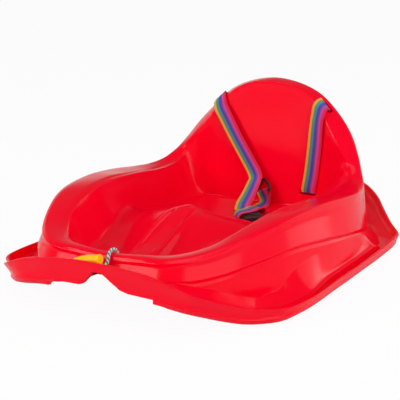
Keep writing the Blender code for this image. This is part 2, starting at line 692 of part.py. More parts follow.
def build_buckle():
    half = BUCKLE_WIDTH / MM / 2 + 2
    tall = BUCKLE_HEIGHT / MM / 2
    end = BUCKLE_LENGTH / MM / 2
    joint = 9.0
    socket = box("buckle_socket", (-end, -half, -tall), (joint, half, tall), PARTS, BLACK)
    bevel = socket.modifiers.new("soft_edges", "BEVEL")
    bevel.width = 0.0014
    bevel.segments = 2
    cut(socket, box("socket_step_top", (-end - 2, -40, 1.4), (-19, 40, 20), CUTTERS))
    cut(socket, box("socket_step_low", (-end - 2, -40, -20), (-19, 40, -1.4), CUTTERS))
    cut(socket, box("socket_web_slot", (-25.6, -13.2, -20), (-19.8, 13.2, 20), CUTTERS))
    cut(socket, box("socket_mouth", (-14, -12, -3.6), (joint + 5, 12, 3.6), CUTTERS))
    for side in (-1, 1):
        low = (-8, min(side * 8, side * 40), -3.6)
        high = (3, max(side * 8, side * 40), 3.6)
        cut(socket, box("socket_side_window", low, high, CUTTERS))
    plug = box("buckle_plug", (joint + 0.4, -half, -5.0), (end, half, 5.0), PARTS, BLACK)
    bevel = plug.modifiers.new("soft_edges", "BEVEL")
    bevel.width = 0.0014
    bevel.segments = 2
    tongue = box("plug_tongue", (-11, -3.6, -2.6), (joint + 4, 3.6, 2.6), CUTTERS)
    arms = [box("plug_arm", (-7, min(s * 7.2, s * 11.2), -2.8),
                (joint + 4, max(s * 7.2, s * 11.2), 2.8), CUTTERS) for s in (-1, 1)]
    for piece in [tongue] + arms:
        join = plug.modifiers.new(piece.name, "BOOLEAN")
        join.operation = "UNION"
        join.solver = "EXACT"
        join.object = piece
    cut(plug, box("plug_web_slot", (19.6, -13.2, -20), (24.6, 13.2, 20), CUTTERS))


build_buckle()


# Tow cord: knot under the floor, hole, coil in the near foot well, then over the front lip.
CORD_HOLE = np.array([19.0, -275.0, 0.0])
KNOT_Z = 31.5
COIL_CENTRE = np.array([54.6, -242.0, 0.0])
COIL_FLOOR = 50.4
CORD_ROOT = [
    (19, -275, 38.5), (19, -275, 44), (19, -275, 49), (19.3, -273.2, 54.6), (20.4, -267.5, 57),
    (21.8, -260, 56), (22.8, -252, 53.8), (23.4, -245.5, 52.2),
]
CORD_LEAD = [
    (53.2, -273.9, 57), (45, -275.2, 56), (36, -278.4, 55), (27, -282.8, 55),
    (18.5, -287.4, 56.6), (11, -290.8, 60.5), (6, -293.6, 66), (4, -297, 72.6),
    (3.4, -300.7, 78.8), (3.3, -305.2, 84.2), (3.6, -311, 86.3), (4.2, -317.5, 86.1),
    (6, -324.9, 82.6), (8.2, -330.6, 76.8), (9, -335.2, 72.9), (6.6, -339, 71.9),
    (1.5, -339.8, 71.9), (-4, -339.4, 71.9), (-8.4, -339.8, 72.4), (-10.2, -341.4, 74.2),
    (-10.4, -343, 76.4), (-10.4, -344.4, 78.8),
]
# The thick end of the grip's axis, the axis, and the bore that takes the cord from below.
GRIP_RIGHT = np.array([7.4, -345.9, 82.0])
GRIP_AXIS = np.array([-46.0, 3.0, -7.6])
GRIP_BORE = (-9.6, -344.7, 79.2)
BORE_RISE = (0.0, -0.5, 0.87)


def build_tow():
    cord = CORD_DIAMETER / MM
    hole = oblong_cutter("cord_hole", CORD_HOLE + [0, 0, 46], (1, 0, 0), (0, 0, 1),
                         0.0066, 0.0066, 0.020, 0.020)
    cut(shell, hole)
    tube("tow_cord_root", CORD_ROOT, CORD_DIAMETER, CORD, 18)
    tube("tow_cord_lead", CORD_LEAD, CORD_DIAMETER, CORD, 56)
    bpy.ops.mesh.primitive_uv_sphere_add(
        segments=20, ring_count=12, radius=KNOT_DIAMETER / 2,
        location=(CORD_HOLE + [0, 0, KNOT_Z]) * UNIT,
    )
    knot = bpy.context.object
    knot.name = "tow_knot"
    put(knot, PARTS, CORD)
    inner = COIL_MIDDLE / MM / 2 - cord * COIL_WIDE_TURNS / 2
    outer = inner + cord * COIL_WIDE_TURNS
    tall = cord * COIL_HIGH_TURNS
    soft = 1.6
    profile = [
        (inner + soft, 0), (outer - soft, 0), (outer, soft), (outer, tall - soft),
        (outer - soft, tall), (inner + soft, tall), (inner, tall - soft), (inner, soft),
    ]
    rings = []
    for k in range(40):
        turn = 2 * math.pi * k / 40
        rings.append([(COIL_CENTRE + [r * math.cos(turn), r * math.sin(turn), COIL_FLOOR + z])
                      * UNIT for r, z in profile])
    count = len(profile)
    verts = [p for ring in rings for p in ring]
    faces = []
    for i in range(40):
        for j in range(count):
            a, b = i * count, ((i + 1) % 40) * count
            k = (j + 1) % count
            faces.append((a + j, a + k, b + k, b + j))
    mesh_object("tow_cord_coil", verts, faces, PARTS, CORD)


def build_grip():
    """A turned grip with a tapered tail, bored from below for the cord."""
    axis = GRIP_AXIS / np.linalg.norm(GRIP_AXIS)
    side = np.cross(axis, [0, 0, 1.0])
    side = side / np.linalg.norm(side)
    up = np.cross(side, axis)
    full = GRIP_DIAMETER / MM / 2
    long = GRIP_LENGTH / MM
    profile = [
        (0.0, 0.0), (0.0, full - 1.2), (1.2, full), (5, full * 0.97), (8, full * 0.9),
        (long * 0.42, full * 0.9), (long * 0.6, full * 0.82), (long * 0.8, full * 0.55),
        (long - 2, full * 0.3), (long, 0.0),
    ]
    sides = 20
    verts = []
    faces = []
    for s, r in profile:
        for k in range(sides):
            turn = 2 * math.pi * k / sides
            verts.append((GRIP_RIGHT + axis * s + side * r * math.cos(turn)
                          + up * r * math.sin(turn)) * UNIT)
    for i in range(len(profile) - 1):
        for k in range(sides):
            n = (k + 1) % sides
            faces.append((i * sides + k, i * sides + n, (i + 1) * sides + n, (i + 1) * sides + k))
    grip = mesh_object("tow_grip", verts, faces, PARTS, YELLOW)
    cut(grip, oblong_cutter("grip_bore", GRIP_BORE, (1, 0, 0), BORE_RISE,
                            0.0095, 0.0062, 0.002, 0.014))


build_tow()
build_grip()
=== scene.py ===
"""Red plastic baby sled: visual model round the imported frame.

+Z is up and -Y is the bow. The scene is in metres; the design lines and the sizes below are
in millimetres, as in the part's source, and MM turns them into metres.
"""
import math

import bpy
import numpy as np
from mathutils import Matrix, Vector


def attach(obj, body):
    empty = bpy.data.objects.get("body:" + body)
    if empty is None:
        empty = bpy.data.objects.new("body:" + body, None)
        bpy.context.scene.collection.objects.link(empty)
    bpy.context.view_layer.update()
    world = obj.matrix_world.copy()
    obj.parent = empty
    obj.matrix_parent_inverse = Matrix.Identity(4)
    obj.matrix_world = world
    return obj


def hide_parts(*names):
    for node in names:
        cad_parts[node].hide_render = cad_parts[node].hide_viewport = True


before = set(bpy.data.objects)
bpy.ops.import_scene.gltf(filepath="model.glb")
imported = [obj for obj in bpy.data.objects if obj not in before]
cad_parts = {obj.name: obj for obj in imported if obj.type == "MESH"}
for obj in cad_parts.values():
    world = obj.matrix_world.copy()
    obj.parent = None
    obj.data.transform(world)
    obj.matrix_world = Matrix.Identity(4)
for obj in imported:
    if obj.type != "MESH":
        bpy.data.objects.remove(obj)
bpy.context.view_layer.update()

MM = 0.001


# Camera

lens = bpy.data.cameras.new("photo_camera")
lens.lens = 96.75
lens.sensor_width = 36
lens.clip_end = 60
camera = bpy.data.objects.new("photo_camera", lens)
camera.location = (0.797, -1.4525, 0.487)
camera.rotation_euler = (math.radians(76.5), 0, math.radians(30))
bpy.context.scene.collection.objects.link(camera)
bpy.context.scene.camera = camera


# Modelling tools

def deselect():
    for obj in bpy.context.selected_objects:
        obj.select_set(False)


def only(obj):
    deselect()
    obj.select_set(True)
    bpy.context.view_layer.objects.active = obj


def apply_all(obj):
    only(obj)
    for modifier in list(obj.modifiers):
        bpy.ops.object.modifier_apply(modifier=modifier.name)


def grid_piece(name, columns, rows, place):
    """A grid whose vertices go to place(column, row), in millimetres; its UV map stays 0 to 1."""
    deselect()
    bpy.ops.mesh.primitive_grid_add(x_subdivisions=columns - 1, y_subdivisions=rows - 1, size=1,
                                    calc_uvs=True)
    piece = bpy.context.object
    piece.name = name
    for vertex in piece.data.vertices:
        column = round((vertex.co.x + 0.5) * (columns - 1))
        row = round((vertex.co.y + 0.5) * (rows - 1))
        vertex.co = Vector([float(c) for c in place(column, row)]) * MM
    return piece


def tidy_mesh(piece, cap=False):
    """Merges what lies together, closes open ends if asked and points the faces outwards."""
    only(piece)
    bpy.ops.object.mode_set(mode="EDIT")
    bpy.ops.mesh.select_all(action="SELECT")
    bpy.ops.mesh.remove_doubles(threshold=2e-6)
    if cap:
        bpy.ops.mesh.fill_holes(sides=0)
        bpy.ops.mesh.select_all(action="SELECT")
    bpy.ops.mesh.normals_make_consistent(inside=False)
    bpy.ops.object.mode_set(mode="OBJECT")
    return piece


def rings_piece(name, rings):
    """A closed piece through rings of the same number of points, capped at both ends."""
    around = len(rings[0])
    piece = grid_piece(name, around + 1, len(rings), lambda c, r: rings[r][c % around])
    return tidy_mesh(piece, cap=True)


def add(obj, kind, **values):
    modifier = obj.modifiers.new(kind.lower(), kind)
    for key, value in values.items():
        setattr(modifier, key, value)


def smooth_by_angle(obj, degrees):
    only(obj)
    bpy.ops.object.shade_smooth_by_angle(angle=math.radians(degrees))


def combine(obj, other, operation):
    add(obj, "BOOLEAN", operation=operation, solver="EXACT", object=other)
    apply_all(obj)
    bpy.data.objects.remove(other, do_unlink=True)


def cut_away(obj, cutter):
    combine(obj, cutter, "DIFFERENCE")


def join_to(obj, other):
    combine(obj, other, "UNION")


def finish_piece(obj, material, body, replaced):
    """The piece's one material, its body, and the CAD nodes that it stands for."""
    obj.data.materials.clear()
    obj.data.materials.append(material)
    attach(obj, body)
    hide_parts(*replaced)
    return obj


# Curves

def stretch(points, parts_of):
    """Points on a smooth curve through the points; parts_of(length) parts for each stretch."""
    pts = [np.asarray(p, float) for p in points]
    ends = [2 * pts[0] - pts[1]] + pts + [2 * pts[-1] - pts[-2]]
    dense = []
    for i in range(1, len(ends) - 2):
        a, b, c, d = ends[i - 1:i + 3]
        for f in np.linspace(0, 1, parts_of(np.linalg.norm((c - b)[:3])), endpoint=False):
            dense.append(0.5 * (2 * b + (c - a) * f + (2 * a - 5 * b + 4 * c - d) * f * f
                                + (3 * b - a - 3 * c + d) * f ** 3))
    dense.append(pts[-1])
    return np.array(dense)


def run_along(path):
    """Length of the path from its start to each of its points."""
    return np.concatenate([[0], np.cumsum(np.linalg.norm(np.diff(path, axis=0), axis=1))])


def even_path(points, step):
    """Evenly spaced points on a smooth curve through the points."""
    dense = stretch(points, lambda length: 24)
    run = run_along(dense)
    want = np.linspace(0, run[-1], int(round(run[-1] / step)) + 1)
    return np.transpose([np.interp(want, run, dense[:, k]) for k in range(3)])


def carried_frames(path):
    """Two unit vectors across the path at each point, carried along without twist."""
    ahead = np.gradient(path, axis=0)
    ahead /= np.linalg.norm(ahead, axis=1)[:, None]
    start = np.cross(ahead[0], [0.3, 0.2, 1.0])
    sides = [start / np.linalg.norm(start)]
    for i in range(1, len(path)):
        s = sides[-1] - ahead[i] * np.dot(sides[-1], ahead[i])
        sides.append(s / np.linalg.norm(s))
    sides = np.array(sides)
    return sides, np.cross(ahead, sides)


def smooth(value):
    value = min(max(value, 0.0), 1.0)
    return value * value * (3 - 2 * value)


def mix(a, b, f):
    return np.asarray(a) * (1 - f) + np.asarray(b) * f


# Shader parts

def node(tree, kind, inputs=None, **settings):
    made = tree.nodes.new(kind)
    for key, value in settings.items():
        setattr(made, key, value)
    for key, value in (inputs or {}).items():
        if isinstance(value, bpy.types.NodeSocket):
            tree.links.new(value, made.inputs[key])
        else:
            made.inputs[key].default_value = value
    return made


def maths(tree, operation, first, second=0.0, clamp=False):
    made = node(tree, "ShaderNodeMath", {0: first, 1: second}, operation=operation,
                use_clamp=clamp)
    return made.outputs[0]


def colour(r, g, b):
    """A colour read off as 0 to 255 values, made linear."""
    return tuple(((c / 255) / 12.92 if c <= 10 else ((c / 255 + 0.055) / 1.055) ** 2.4)
                 for c in (r, g, b)) + (1.0,)


def colour_bands(tree, place, bands):
    """A colour ramp over a value; bands are (value, colour as 0 to 255)."""
    ramp = node(tree, "ShaderNodeValToRGB", {0: place})
    points = ramp.color_ramp.elements
    while len(points) < len(bands):
        points.new(0.5)
    for point, (at, shade) in zip(points, bands):
        point.position = at
        point.color = colour(*shade)
    return ramp.outputs[0]


def group(name, inputs, outputs):
    """A node group with numbers in and numbers out, and its own input and output nodes."""
    tree = bpy.data.node_groups.new(name, "ShaderNodeTree")
    for label, value in inputs:
        socket = tree.interface.new_socket(label, in_out="INPUT", socket_type="NodeSocketFloat")
        socket.default_value = value
    for label in outputs:
        tree.interface.new_socket(label, in_out="OUTPUT", socket_type="NodeSocketFloat")
    return tree, tree.nodes.new("NodeGroupInput"), tree.nodes.new("NodeGroupOutput")


def moulded_surface():
    """Faint ripple, fine grain and hairline scuffs of moulded plastic."""
    tree, given, out = group("moulded_surface", [("Ripple Scale", 14.0), ("Grain Scale", 900.0),
                                                 ("Scuffs", 0.3)], ["Height", "Scuff Mask", "Tone"])
    place = node(tree, "ShaderNodeTexCoord").outputs["Object"]
    ripple = node(tree, "ShaderNodeTexNoise", {"Vector": place, "Scale": given.outputs[0],
                                               "Detail": 2.0, "Roughness": 0.4})
    grain = node(tree, "ShaderNodeTexNoise", {"Vector": place, "Scale": given.outputs[1],
                                              "Detail": 1.0})
    streaked = node(tree, "ShaderNodeMapping", {"Vector": place, "Scale": (60.0, 9.0, 40.0),
                                                "Rotation": (0.2, 0.1, 0.5)})
    scuff = node(tree, "ShaderNodeTexNoise", {"Vector": streaked.outputs[0], "Scale": 3.0,
                                              "Detail": 6.0, "Roughness": 0.7})
    sharp = node(tree, "ShaderNodeMapRange", {"Value": scuff.outputs[0], "From Min": 0.62,
                                              "From Max": 0.78})
    mask = maths(tree, "MULTIPLY", sharp.outputs[0], given.outputs[2], clamp=True)
    fine = maths(tree, "MULTIPLY", grain.outputs[0], 0.06)
    height = maths(tree, "ADD", ripple.outputs[0], fine)
    tree.links.new(height, out.inputs["Height"])
    tree.links.new(mask, out.inputs["Scuff Mask"])
    tree.links.new(ripple.outputs[0], out.inputs["Tone"])
    return tree


MOULDED = moulded_surface()


def new_material(name):
    made = bpy.data.materials.new(name)
    made.use_nodes = True
    return made, made.node_tree, made.node_tree.nodes["Principled BSDF"]


def moulded_plastic(name, base, shade, gloss, scuffs, ripple, grain, bump, specular=0.5):
    """Moulded plastic: base colour towards shade over a slow ripple, with scuffed roughness."""
    made, tree, shader = new_material(name)
    surface = node(tree, "ShaderNodeGroup", node_tree=MOULDED)
    surface.inputs["Ripple Scale"].default_value = ripple
    surface.inputs["Grain Scale"].default_value = grain
    surface.inputs["Scuffs"].default_value = scuffs
    tone = node(tree, "ShaderNodeMix", {0: surface.outputs["Tone"], 6: base, 7: shade},
                data_type="RGBA")
    tree.links.new(tone.outputs[2], shader.inputs["Base Color"])
    rough = node(tree, "ShaderNodeMapRange", {"Value": surface.outputs["Scuff Mask"],
                                              "To Min": gloss, "To Max": gloss + 0.3})
    tree.links.new(rough.outputs[0], shader.inputs["Roughness"])
    lift = node(tree, "ShaderNodeBump", {"Strength": 1.0, "Distance": bump,
                                         "Height": surface.outputs["Height"]})
    tree.links.new(lift.outputs[0], shader.inputs["Normal"])
    shader.inputs["Specular IOR Level"].default_value = specular
    return made


# Webbing: warp threads across its width, ribs in a length of one width, and the stripes from
# the orange edge (0) to the red edge (1)
WARPS_ACROSS = 24
RIBS_PER_WIDTH = 19
STRIPES = [
    (0.0, (255, 186, 62)), (0.11, (255, 192, 70)), (0.145, (240, 208, 92)), (0.19, (130, 168, 96)),
    (0.25, (84, 156, 118)), (0.32, (92, 168, 172)), (0.38, (78, 136, 190)), (0.44, (56, 84, 184)),
    (0.51, (78, 68, 172)), (0.58, (116, 62, 182)), (0.66, (176, 80, 192)), (0.74, (226, 84, 184)),
    (0.8, (252, 56, 140)), (0.87, (252, 20, 90)), (1.0, (252, 6, 64)),
]


def striped_webbing():
    """Polypropylene webbing: coloured warp stripes with a fine twill of ribs across, and painted
    shade in the twill's low places.
    """
    made, tree, shader = new_material("striped_webbing")
    uv = node(tree, "ShaderNodeUVMap", uv_map="UVMap").outputs[0]
    split = node(tree, "ShaderNodeSeparateXYZ", {0: uv})
    across, along = split.outputs[0], split.outputs[1]
    wander = node(tree, "ShaderNodeTexNoise", {"Vector": uv, "Scale": 400.0, "Detail": 1.0})
    jitter = maths(tree, "MULTIPLY", maths(tree, "SUBTRACT", wander.outputs[0], 0.5), 0.035)
    stripes = colour_bands(tree, maths(tree, "ADD", across, jitter), STRIPES)
    # The UV map's second value is the length in webbing widths.
    warp = maths(tree, "SINE", maths(tree, "MULTIPLY", across, 2 * math.pi * WARPS_ACROSS))
    offset = maths(tree, "MULTIPLY", warp, 1.2)
    wefts = maths(tree, "MULTIPLY", along, 2 * math.pi * RIBS_PER_WIDTH)
    twill = maths(tree, "SINE", maths(tree, "ADD", wefts, offset))
    height = maths(tree, "ADD", maths(tree, "MULTIPLY", twill, 0.6),
                   maths(tree, "MULTIPLY", warp, 0.4))
    # Painted shade: the stripe colour is darkened, down to 0.88 of itself, where the weave lies
    # low.
    painted_weave_shade = node(tree, "ShaderNodeMapRange", {"Value": height, "From Min": -1.0, "From Max": 0.4,
                                             "To Min": 0.88, "To Max": 1.0})
    shaded = node(tree, "ShaderNodeMix", {0: 1.0, 6: stripes, 7: (1, 1, 1, 1)},
                  data_type="RGBA", blend_type="MULTIPLY")
    weave_shade_grey = node(tree, "ShaderNodeCombineColor", {0: painted_weave_shade.outputs[0], 1: painted_weave_shade.outputs[0],
                                                 2: painted_weave_shade.outputs[0]})
    tree.links.new(weave_shade_grey.outputs[0], shaded.inputs[7])
    tree.links.new(shaded.outputs[2], shader.inputs["Base Color"])
    lift = node(tree, "ShaderNodeBump", {"Strength": 0.9, "Distance": 0.0004, "Height": height})
    tree.links.new(lift.outputs[0], shader.inputs["Normal"])
    shader.inputs["Roughness"].default_value = 0.72
    shader.inputs["Sheen Weight"].default_value = 0.12
    shader.inputs["Sheen Roughness"].default_value = 0.4
    return made


# Cord: the colours from the middle of a coloured strand (0) to the middle of a white one (0.5)
CORD_SHADES = [
    (0.0, (30, 104, 100)), (0.19, (44, 124, 118)), (0.25, (232, 236, 232)),
    (0.42, (246, 246, 240)), (0.5, (150, 160, 190)),
]


def laid_cord():
    """White cord with teal and blue strands; UV is round, and along in cord diameters."""
    made, tree, shader = new_material("tow_cord_fibre")
    uv = node(tree, "ShaderNodeUVMap", uv_map="UVMap").outputs[0]
    split = node(tree, "ShaderNodeSeparateXYZ", {0: uv})
    around, along = split.outputs[0], split.outputs[1]
    turn = maths(tree, "MULTIPLY", around, 2 * math.pi)
    run = maths(tree, "MULTIPLY", along, 2 * math.pi * 0.5)
    lay = maths(tree, "FRACT", maths(tree, "ADD", maths(tree, "MULTIPLY", around, 2.0),
                                     maths(tree, "MULTIPLY", along, 0.8)))
    strand = maths(tree, "ABSOLUTE", maths(tree, "SUBTRACT", lay, 0.5))
    fleck = node(tree, "ShaderNodeTexNoise", {"Vector": uv, "Scale": 5.0, "Detail": 2.0})
    stray = maths(tree, "MULTIPLY", maths(tree, "SUBTRACT", fleck.outputs[0], 0.5), 0.3)
    shades = colour_bands(tree, maths(tree, "ADD", strand, stray), CORD_SHADES)
    tree.links.new(shades, shader.inputs["Base Color"])
    fibre = maths(tree, "SINE", maths(tree, "ADD", maths(tree, "MULTIPLY", turn, 9.0),
                                      maths(tree, "MULTIPLY", run, 22.0)))
    lift = node(tree, "ShaderNodeBump", {"Strength": 0.6, "Distance": 0.0002, "Height": fibre})
    tree.links.new(lift.outputs[0], shader.inputs["Normal"])
    shader.inputs["Roughness"].default_value = 0.8
    shader.inputs["Sheen Weight"].default_value = 0.2
    return made


def brushed_steel():
    """Bare steel of the keeper bars, with faint lines."""
    made, tree, shader = new_material("bar_steel")
    place = node(tree, "ShaderNodeTexCoord").outputs["Object"]
    drawn = node(tree, "ShaderNodeMapping", {"Vector": place, "Scale": (1.0, 1.0, 6.0)})
    lines = node(tree, "ShaderNodeTexNoise", {"Vector": drawn.outputs[0], "Scale": 300.0,
                                              "Detail": 3.0})
    rough = node(tree, "ShaderNodeMapRange", {"Value": lines.outputs[0], "To Min": 0.25,
                                              "To Max": 0.5})
    tree.links.new(rough.outputs[0], shader.inputs["Roughness"])
    shader.inputs["Base Color"].default_value = (0.55, 0.56, 0.58, 1)
    shader.inputs["Metallic"].default_value = 1.0
    return made


RED = moulded_plastic("red_plastic", colour(255, 0, 44), colour(252, 0, 33), gloss=0.13,
                      scuffs=0.25, ripple=9.0, grain=900.0, bump=0.0006, specular=0.14)
BLACK = moulded_plastic("black_plastic", colour(24, 24, 27), colour(34, 34, 36), gloss=0.34,
                        scuffs=0.5, ripple=60.0, grain=2200.0, bump=0.0001)
YELLOW = moulded_plastic("yellow_plastic", colour(255, 206, 0), colour(255, 192, 0), gloss=0.3,
                         scuffs=0.4, ripple=40.0, grain=1500.0, bump=0.0002, specular=0.3)
WEBBING = striped_webbing()
FIBRE = laid_cord()
STEEL = brushed_steel()
for bar in ("shoulder_bar_left", "shoulder_bar_right", "hip_bar_right"):
    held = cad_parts[bar]
    held.data.materials.clear()
    held.data.materials.append(STEEL)


# Tow cord: knot under the floor, hole, coil in the near foot well, over the front lip, grip

CORD_DIAMETER = 5.0
CORD_HOLE = (19, -275)
CORD_HOLE_RADIUS = 3.3
KNOT_Z = 31.5
KNOT_CORD_RADIUS = 2.2
# The cord's strands, the length in which they go round once, and how deep they lie apart
STRANDS = 3
LAY_LENGTH = 28.0
STRAND_DEPTH = 0.1
CORD_ROOT = [
    (19, -275, 38.5), (19, -275, 44), (19, -275, 49), (19.3, -273.2, 54.6), (20.4, -267.5, 57),
    (21.8, -260, 56), (22.8, -252, 53.8), (23.4, -245.5, 52.2),
]
CORD_LEAD = [
    (53.2, -273.9, 57), (45, -275.2, 56), (36, -278.4, 55), (27, -282.8, 55),
    (18.5, -287.4, 56.6), (11, -290.8, 60.5), (6, -293.6, 66), (4, -297, 72.6),
    (3.4, -300.7, 78.8), (3.3, -305.2, 84.2), (3.6, -311, 86.3), (4.2, -317.5, 86.1),
    (6, -324.9, 82.6), (8.2, -330.6, 76.8), (9, -335.2, 72.9), (6.6, -339, 71.9),
    (1.5, -339.8, 71.9), (-4, -339.4, 71.9), (-8.4, -339.8, 72.4), (-10.2, -341.4, 74.2),
    (-10.4, -343, 76.4), (-10.4, -344.4, 78.8),
]
# The coil's middle, the height it lies on, the radius of its middle turns, the place of each
# turn as (steps out, layer), and how tight they are packed: 1 is side by side
COIL_CENTRE = (54.6, -245)
COIL_FLOOR = 48.6
COIL_RADIUS = 21.0
COIL_TURNS = [(1, 0), (0, 0), (-1, 0), (-1, 1), (0, 1), (1, 1)]
COIL_PACKING = 0.985


def coil_route():
    """Six turns lying three wide and two high, from the root's end to the lead's start."""
    route = []
    first = math.atan2(CORD_ROOT[-1][1] - COIL_CENTRE[1], CORD_ROOT[-1][0] - COIL_CENTRE[0])
    last = math.atan2(CORD_LEAD[0][1] - COIL_CENTRE[1], CORD_LEAD[0][0] - COIL_CENTRE[0])
    turns = len(COIL_TURNS)
    sweep = turns * 2 * math.pi - (last - first) % (2 * math.pi)
    steps = turns * 16
    for k in range(1, steps):
        done = k / steps * turns
        now = min(int(done), turns - 1)
        after = min(now + 1, turns - 1)
        ease = smooth((done - now - 0.72) / 0.28)
        side, layer = mix(COIL_TURNS[now], COIL_TURNS[after], ease)
        angle = first - sweep * k / steps
        radius = COIL_RADIUS + side * CORD_DIAMETER * COIL_PACKING
        route.append((COIL_CENTRE[0] + radius * math.cos(angle),
                      COIL_CENTRE[1] + radius * math.sin(angle),
                      COIL_FLOOR + CORD_DIAMETER * (0.5 + layer * COIL_PACKING)))
    return route


def strand_tube(name, path, radius, around=16):
    """A laid cord along the path: the strands stand proud and turn along it."""
    sides, ups = carried_frames(path)
    run = run_along(path)

    def place(column, row):
        turn = 2 * math.pi * column / around
        twist = STRANDS * (turn + 2 * math.pi * run[row] / LAY_LENGTH)
        r = radius * (1 - STRAND_DEPTH * (0.5 - 0.5 * math.cos(twist)) ** 2)
        return path[row] + sides[row] * r * math.cos(turn) + ups[row] * r * math.sin(turn)

    piece = grid_piece(name, around + 1, len(path), place)
    length = run[-1] / (radius * 2)
    for loop in piece.data.uv_layers.active.data:
        loop.uv = (loop.uv[0], loop.uv[1] * length)
    tidy_mesh(piece, cap=True)
    only(piece)
    bpy.ops.object.shade_smooth()
    return piece


cord_path = even_path(CORD_ROOT + coil_route() + CORD_LEAD, 1.4)
tow_cord = strand_tube("tow_cord", cord_path, CORD_DIAMETER / 2)
finish_piece(tow_cord, FIBRE, "sled",
             ("tow_cord_root", "tow_cord_coil", "tow_cord_lead"))


def overhand_knot():
    """The cord's own overhand knot, pulled tight under the floor: most of a trefoil."""
    middle = np.array([*CORD_HOLE, KNOT_Z])
    size, height, steps = 2.05, 2.5, 140
    path = []
    for k in range(steps + 1):
        a = 2 * math.pi * k / steps * 0.93 + 0.4
        path.append(middle + [size * (math.sin(a) + 1.35 * math.sin(2 * a)),
                              size * (math.cos(a) - 1.35 * math.cos(2 * a)),
                              -height * math.sin(3 * a)])
    knot = strand_tube("tow_knot_visual", np.array(path), KNOT_CORD_RADIUS, around=12)
    return finish_piece(knot, FIBRE, "sled", ("tow_knot",))


# Grip: its head's place, the way it lies, its profile as (distance along, radius), the stretch
# with shallow flutes and their number, and where the cord goes in and which way
GRIP_START = np.array([7.4, -345.9, 82.0])
GRIP_ALONG = np.array([-46.0, 3.0, -7.6])
GRIP_PROFILE = [
    (0.0, 0.3), (0.0, 3.0), (0.0, 5.4), (0.3, 6.4), (1.2, 6.95), (2.6, 7.0), (4.6, 6.8),
    (6.4, 6.4), (8.5, 6.25), (13, 6.25), (19, 6.25), (24, 6.0), (28, 5.6), (32, 4.9),
    (36, 4.0), (40, 3.1), (43.5, 2.3), (45.2, 1.7), (45.9, 0.9), (46.0, 0.3),
]
FLUTED = (7, 26)
FLUTES = 10
BORE_AT = (-9.9, -344.7, 79.2)
BORE_RISE = (0.0, -0.5, 0.87)
BORE_RADIUS = 3.1


def pull_grip():
    """Turned grip: a flared head, a fluted barrel and a tapered tail, bored from below."""
    axis = GRIP_ALONG / np.linalg.norm(GRIP_ALONG)
    side = np.cross(axis, [0, 0, 1.0])
    side /= np.linalg.norm(side)
    up = np.cross(side, axis)
    around = 40
    rings = []
    for s, r in GRIP_PROFILE:
        ring = []
        for k in range(around):
            turn = 2 * math.pi * k / around
            flute = 0.2 * math.cos(turn * FLUTES) if FLUTED[0] < s < FLUTED[1] else 0.0
            ring.append(GRIP_START + axis * s + side * (r + flute) * math.cos(turn)
                        + up * (r + flute) * math.sin(turn))
        rings.append(ring)
    grip = rings_piece("pull_grip", rings)
    add(grip, "SUBSURF", levels=1, render_levels=1)
    apply_all(grip)
    rise = Vector(BORE_RISE).normalized()
    deselect()
    bpy.ops.mesh.primitive_cylinder_add(
        vertices=24, radius=BORE_RADIUS * MM, depth=12 * MM,
        location=(Vector(BORE_AT) - rise * 4.5) * MM,
        rotation=rise.to_track_quat("Z", "Y").to_euler())
    cut_away(grip, bpy.context.object)
    smooth_by_angle(grip, 50)
    return finish_piece(grip, YELLOW, "sled", ("tow_grip",))


knot = overhand_knot()
grip = pull_grip()


# Sled shell: the same design lines as the source, with finer stations

# Each line is the +X half and has 17 points, at stations 0 (the bow's middle) to 16 (the rear's
# middle). In the sections t is the station, and smooth((t - a) / b) brings a form in from
# station a on, over b stations.
LIP_INNER = [
    (0, -312, 82.4), (45, -309, 84.6), (90, -293, 86.8), (124, -254, 95),
    (145, -207, 110), (159, -142, 122), (170, -67, 123), (178, 3, 116),
    (179, 68, 111.5), (174, 113, 117), (160, 135, 134), (142, 141, 155),
    (121, 151, 182), (97, 160, 213.5), (72, 164, 240), (38, 165, 256), (0, 165, 260),
]
BROW = [
    (0, -305, 80.4), (43, -302, 81.6), (84, -287, 83.8), (116, -250, 92),
    (137, -205, 106), (150, -141, 118), (160, -69, 120), (160, 0, 118),
    (152, 63, 116), (149, 108, 120), (147, 135, 131.5), (133, 145, 151.5),
    (114, 152, 179), (91, 161, 209.5), (67, 165, 234), (35, 166, 250), (0, 166, 254),
]
SHOULDER = [
    (0, -325, 75), (50, -324, 78), (99, -318, 82), (141, -280, 88),
    (172, -222, 106), (193, -162, 118), (204, -85, 123), (210, -7, 119),
    (206, 58, 113), (193, 111, 113), (176, 143, 130), (161, 163, 154),
    (143, 178, 182.5), (117, 188, 212), (84, 191, 241), (44, 193, 257.5), (0, 193, 264),
]
WALL_BASE = [
    (0, -328, 66), (50, -328, 64), (103, -324, 60), (146, -283, 64),
    (177, -224, 73), (199, -161, 80), (211, -85, 75), (215, -7, 66),
    (210, 58, 56), (196, 123, 42), (177, 173, 30), (158, 205, 25),
    (135, 219, 24), (105, 223, 26), (72, 226, 28), (38, 228, 30), (0, 228, 30),
]
RIM_TOP = [
    (0, -359, 80), (50, -359, 78.5), (105, -358, 71), (156, -344, 53),
    (207, -283, 29), (243, -217, 26), (245, -85, 26), (245, -5, 26),
    (245, 65, 28), (245, 126, 33), (241, 147, 34), (212, 190, 39),
    (180, 241, 48), (150, 288, 57), (110, 330, 66), (58, 352, 74), (0, 359, 76),
]
GUTTER_Z = [69, 68, 60, 41, 14, 11, 12, 13, 14, 17, 19, 25, 33, 41, 50, 57, 59]
HULL_EDGE = [
    (0, -345, 33), (48, -344, 33), (99, -343, 32), (146, -330, 22),
    (199, -277, 4), (236, -214, 6.5), (240, -85, 8), (240, -5, 9),
    (240, 65, 10), (240, 126, 13), (235, 145, 14), (208, 184, 18),
    (176, 236, 26), (146, 283, 36), (108, 324, 45), (57, 345, 52), (0, 351, 54),
]
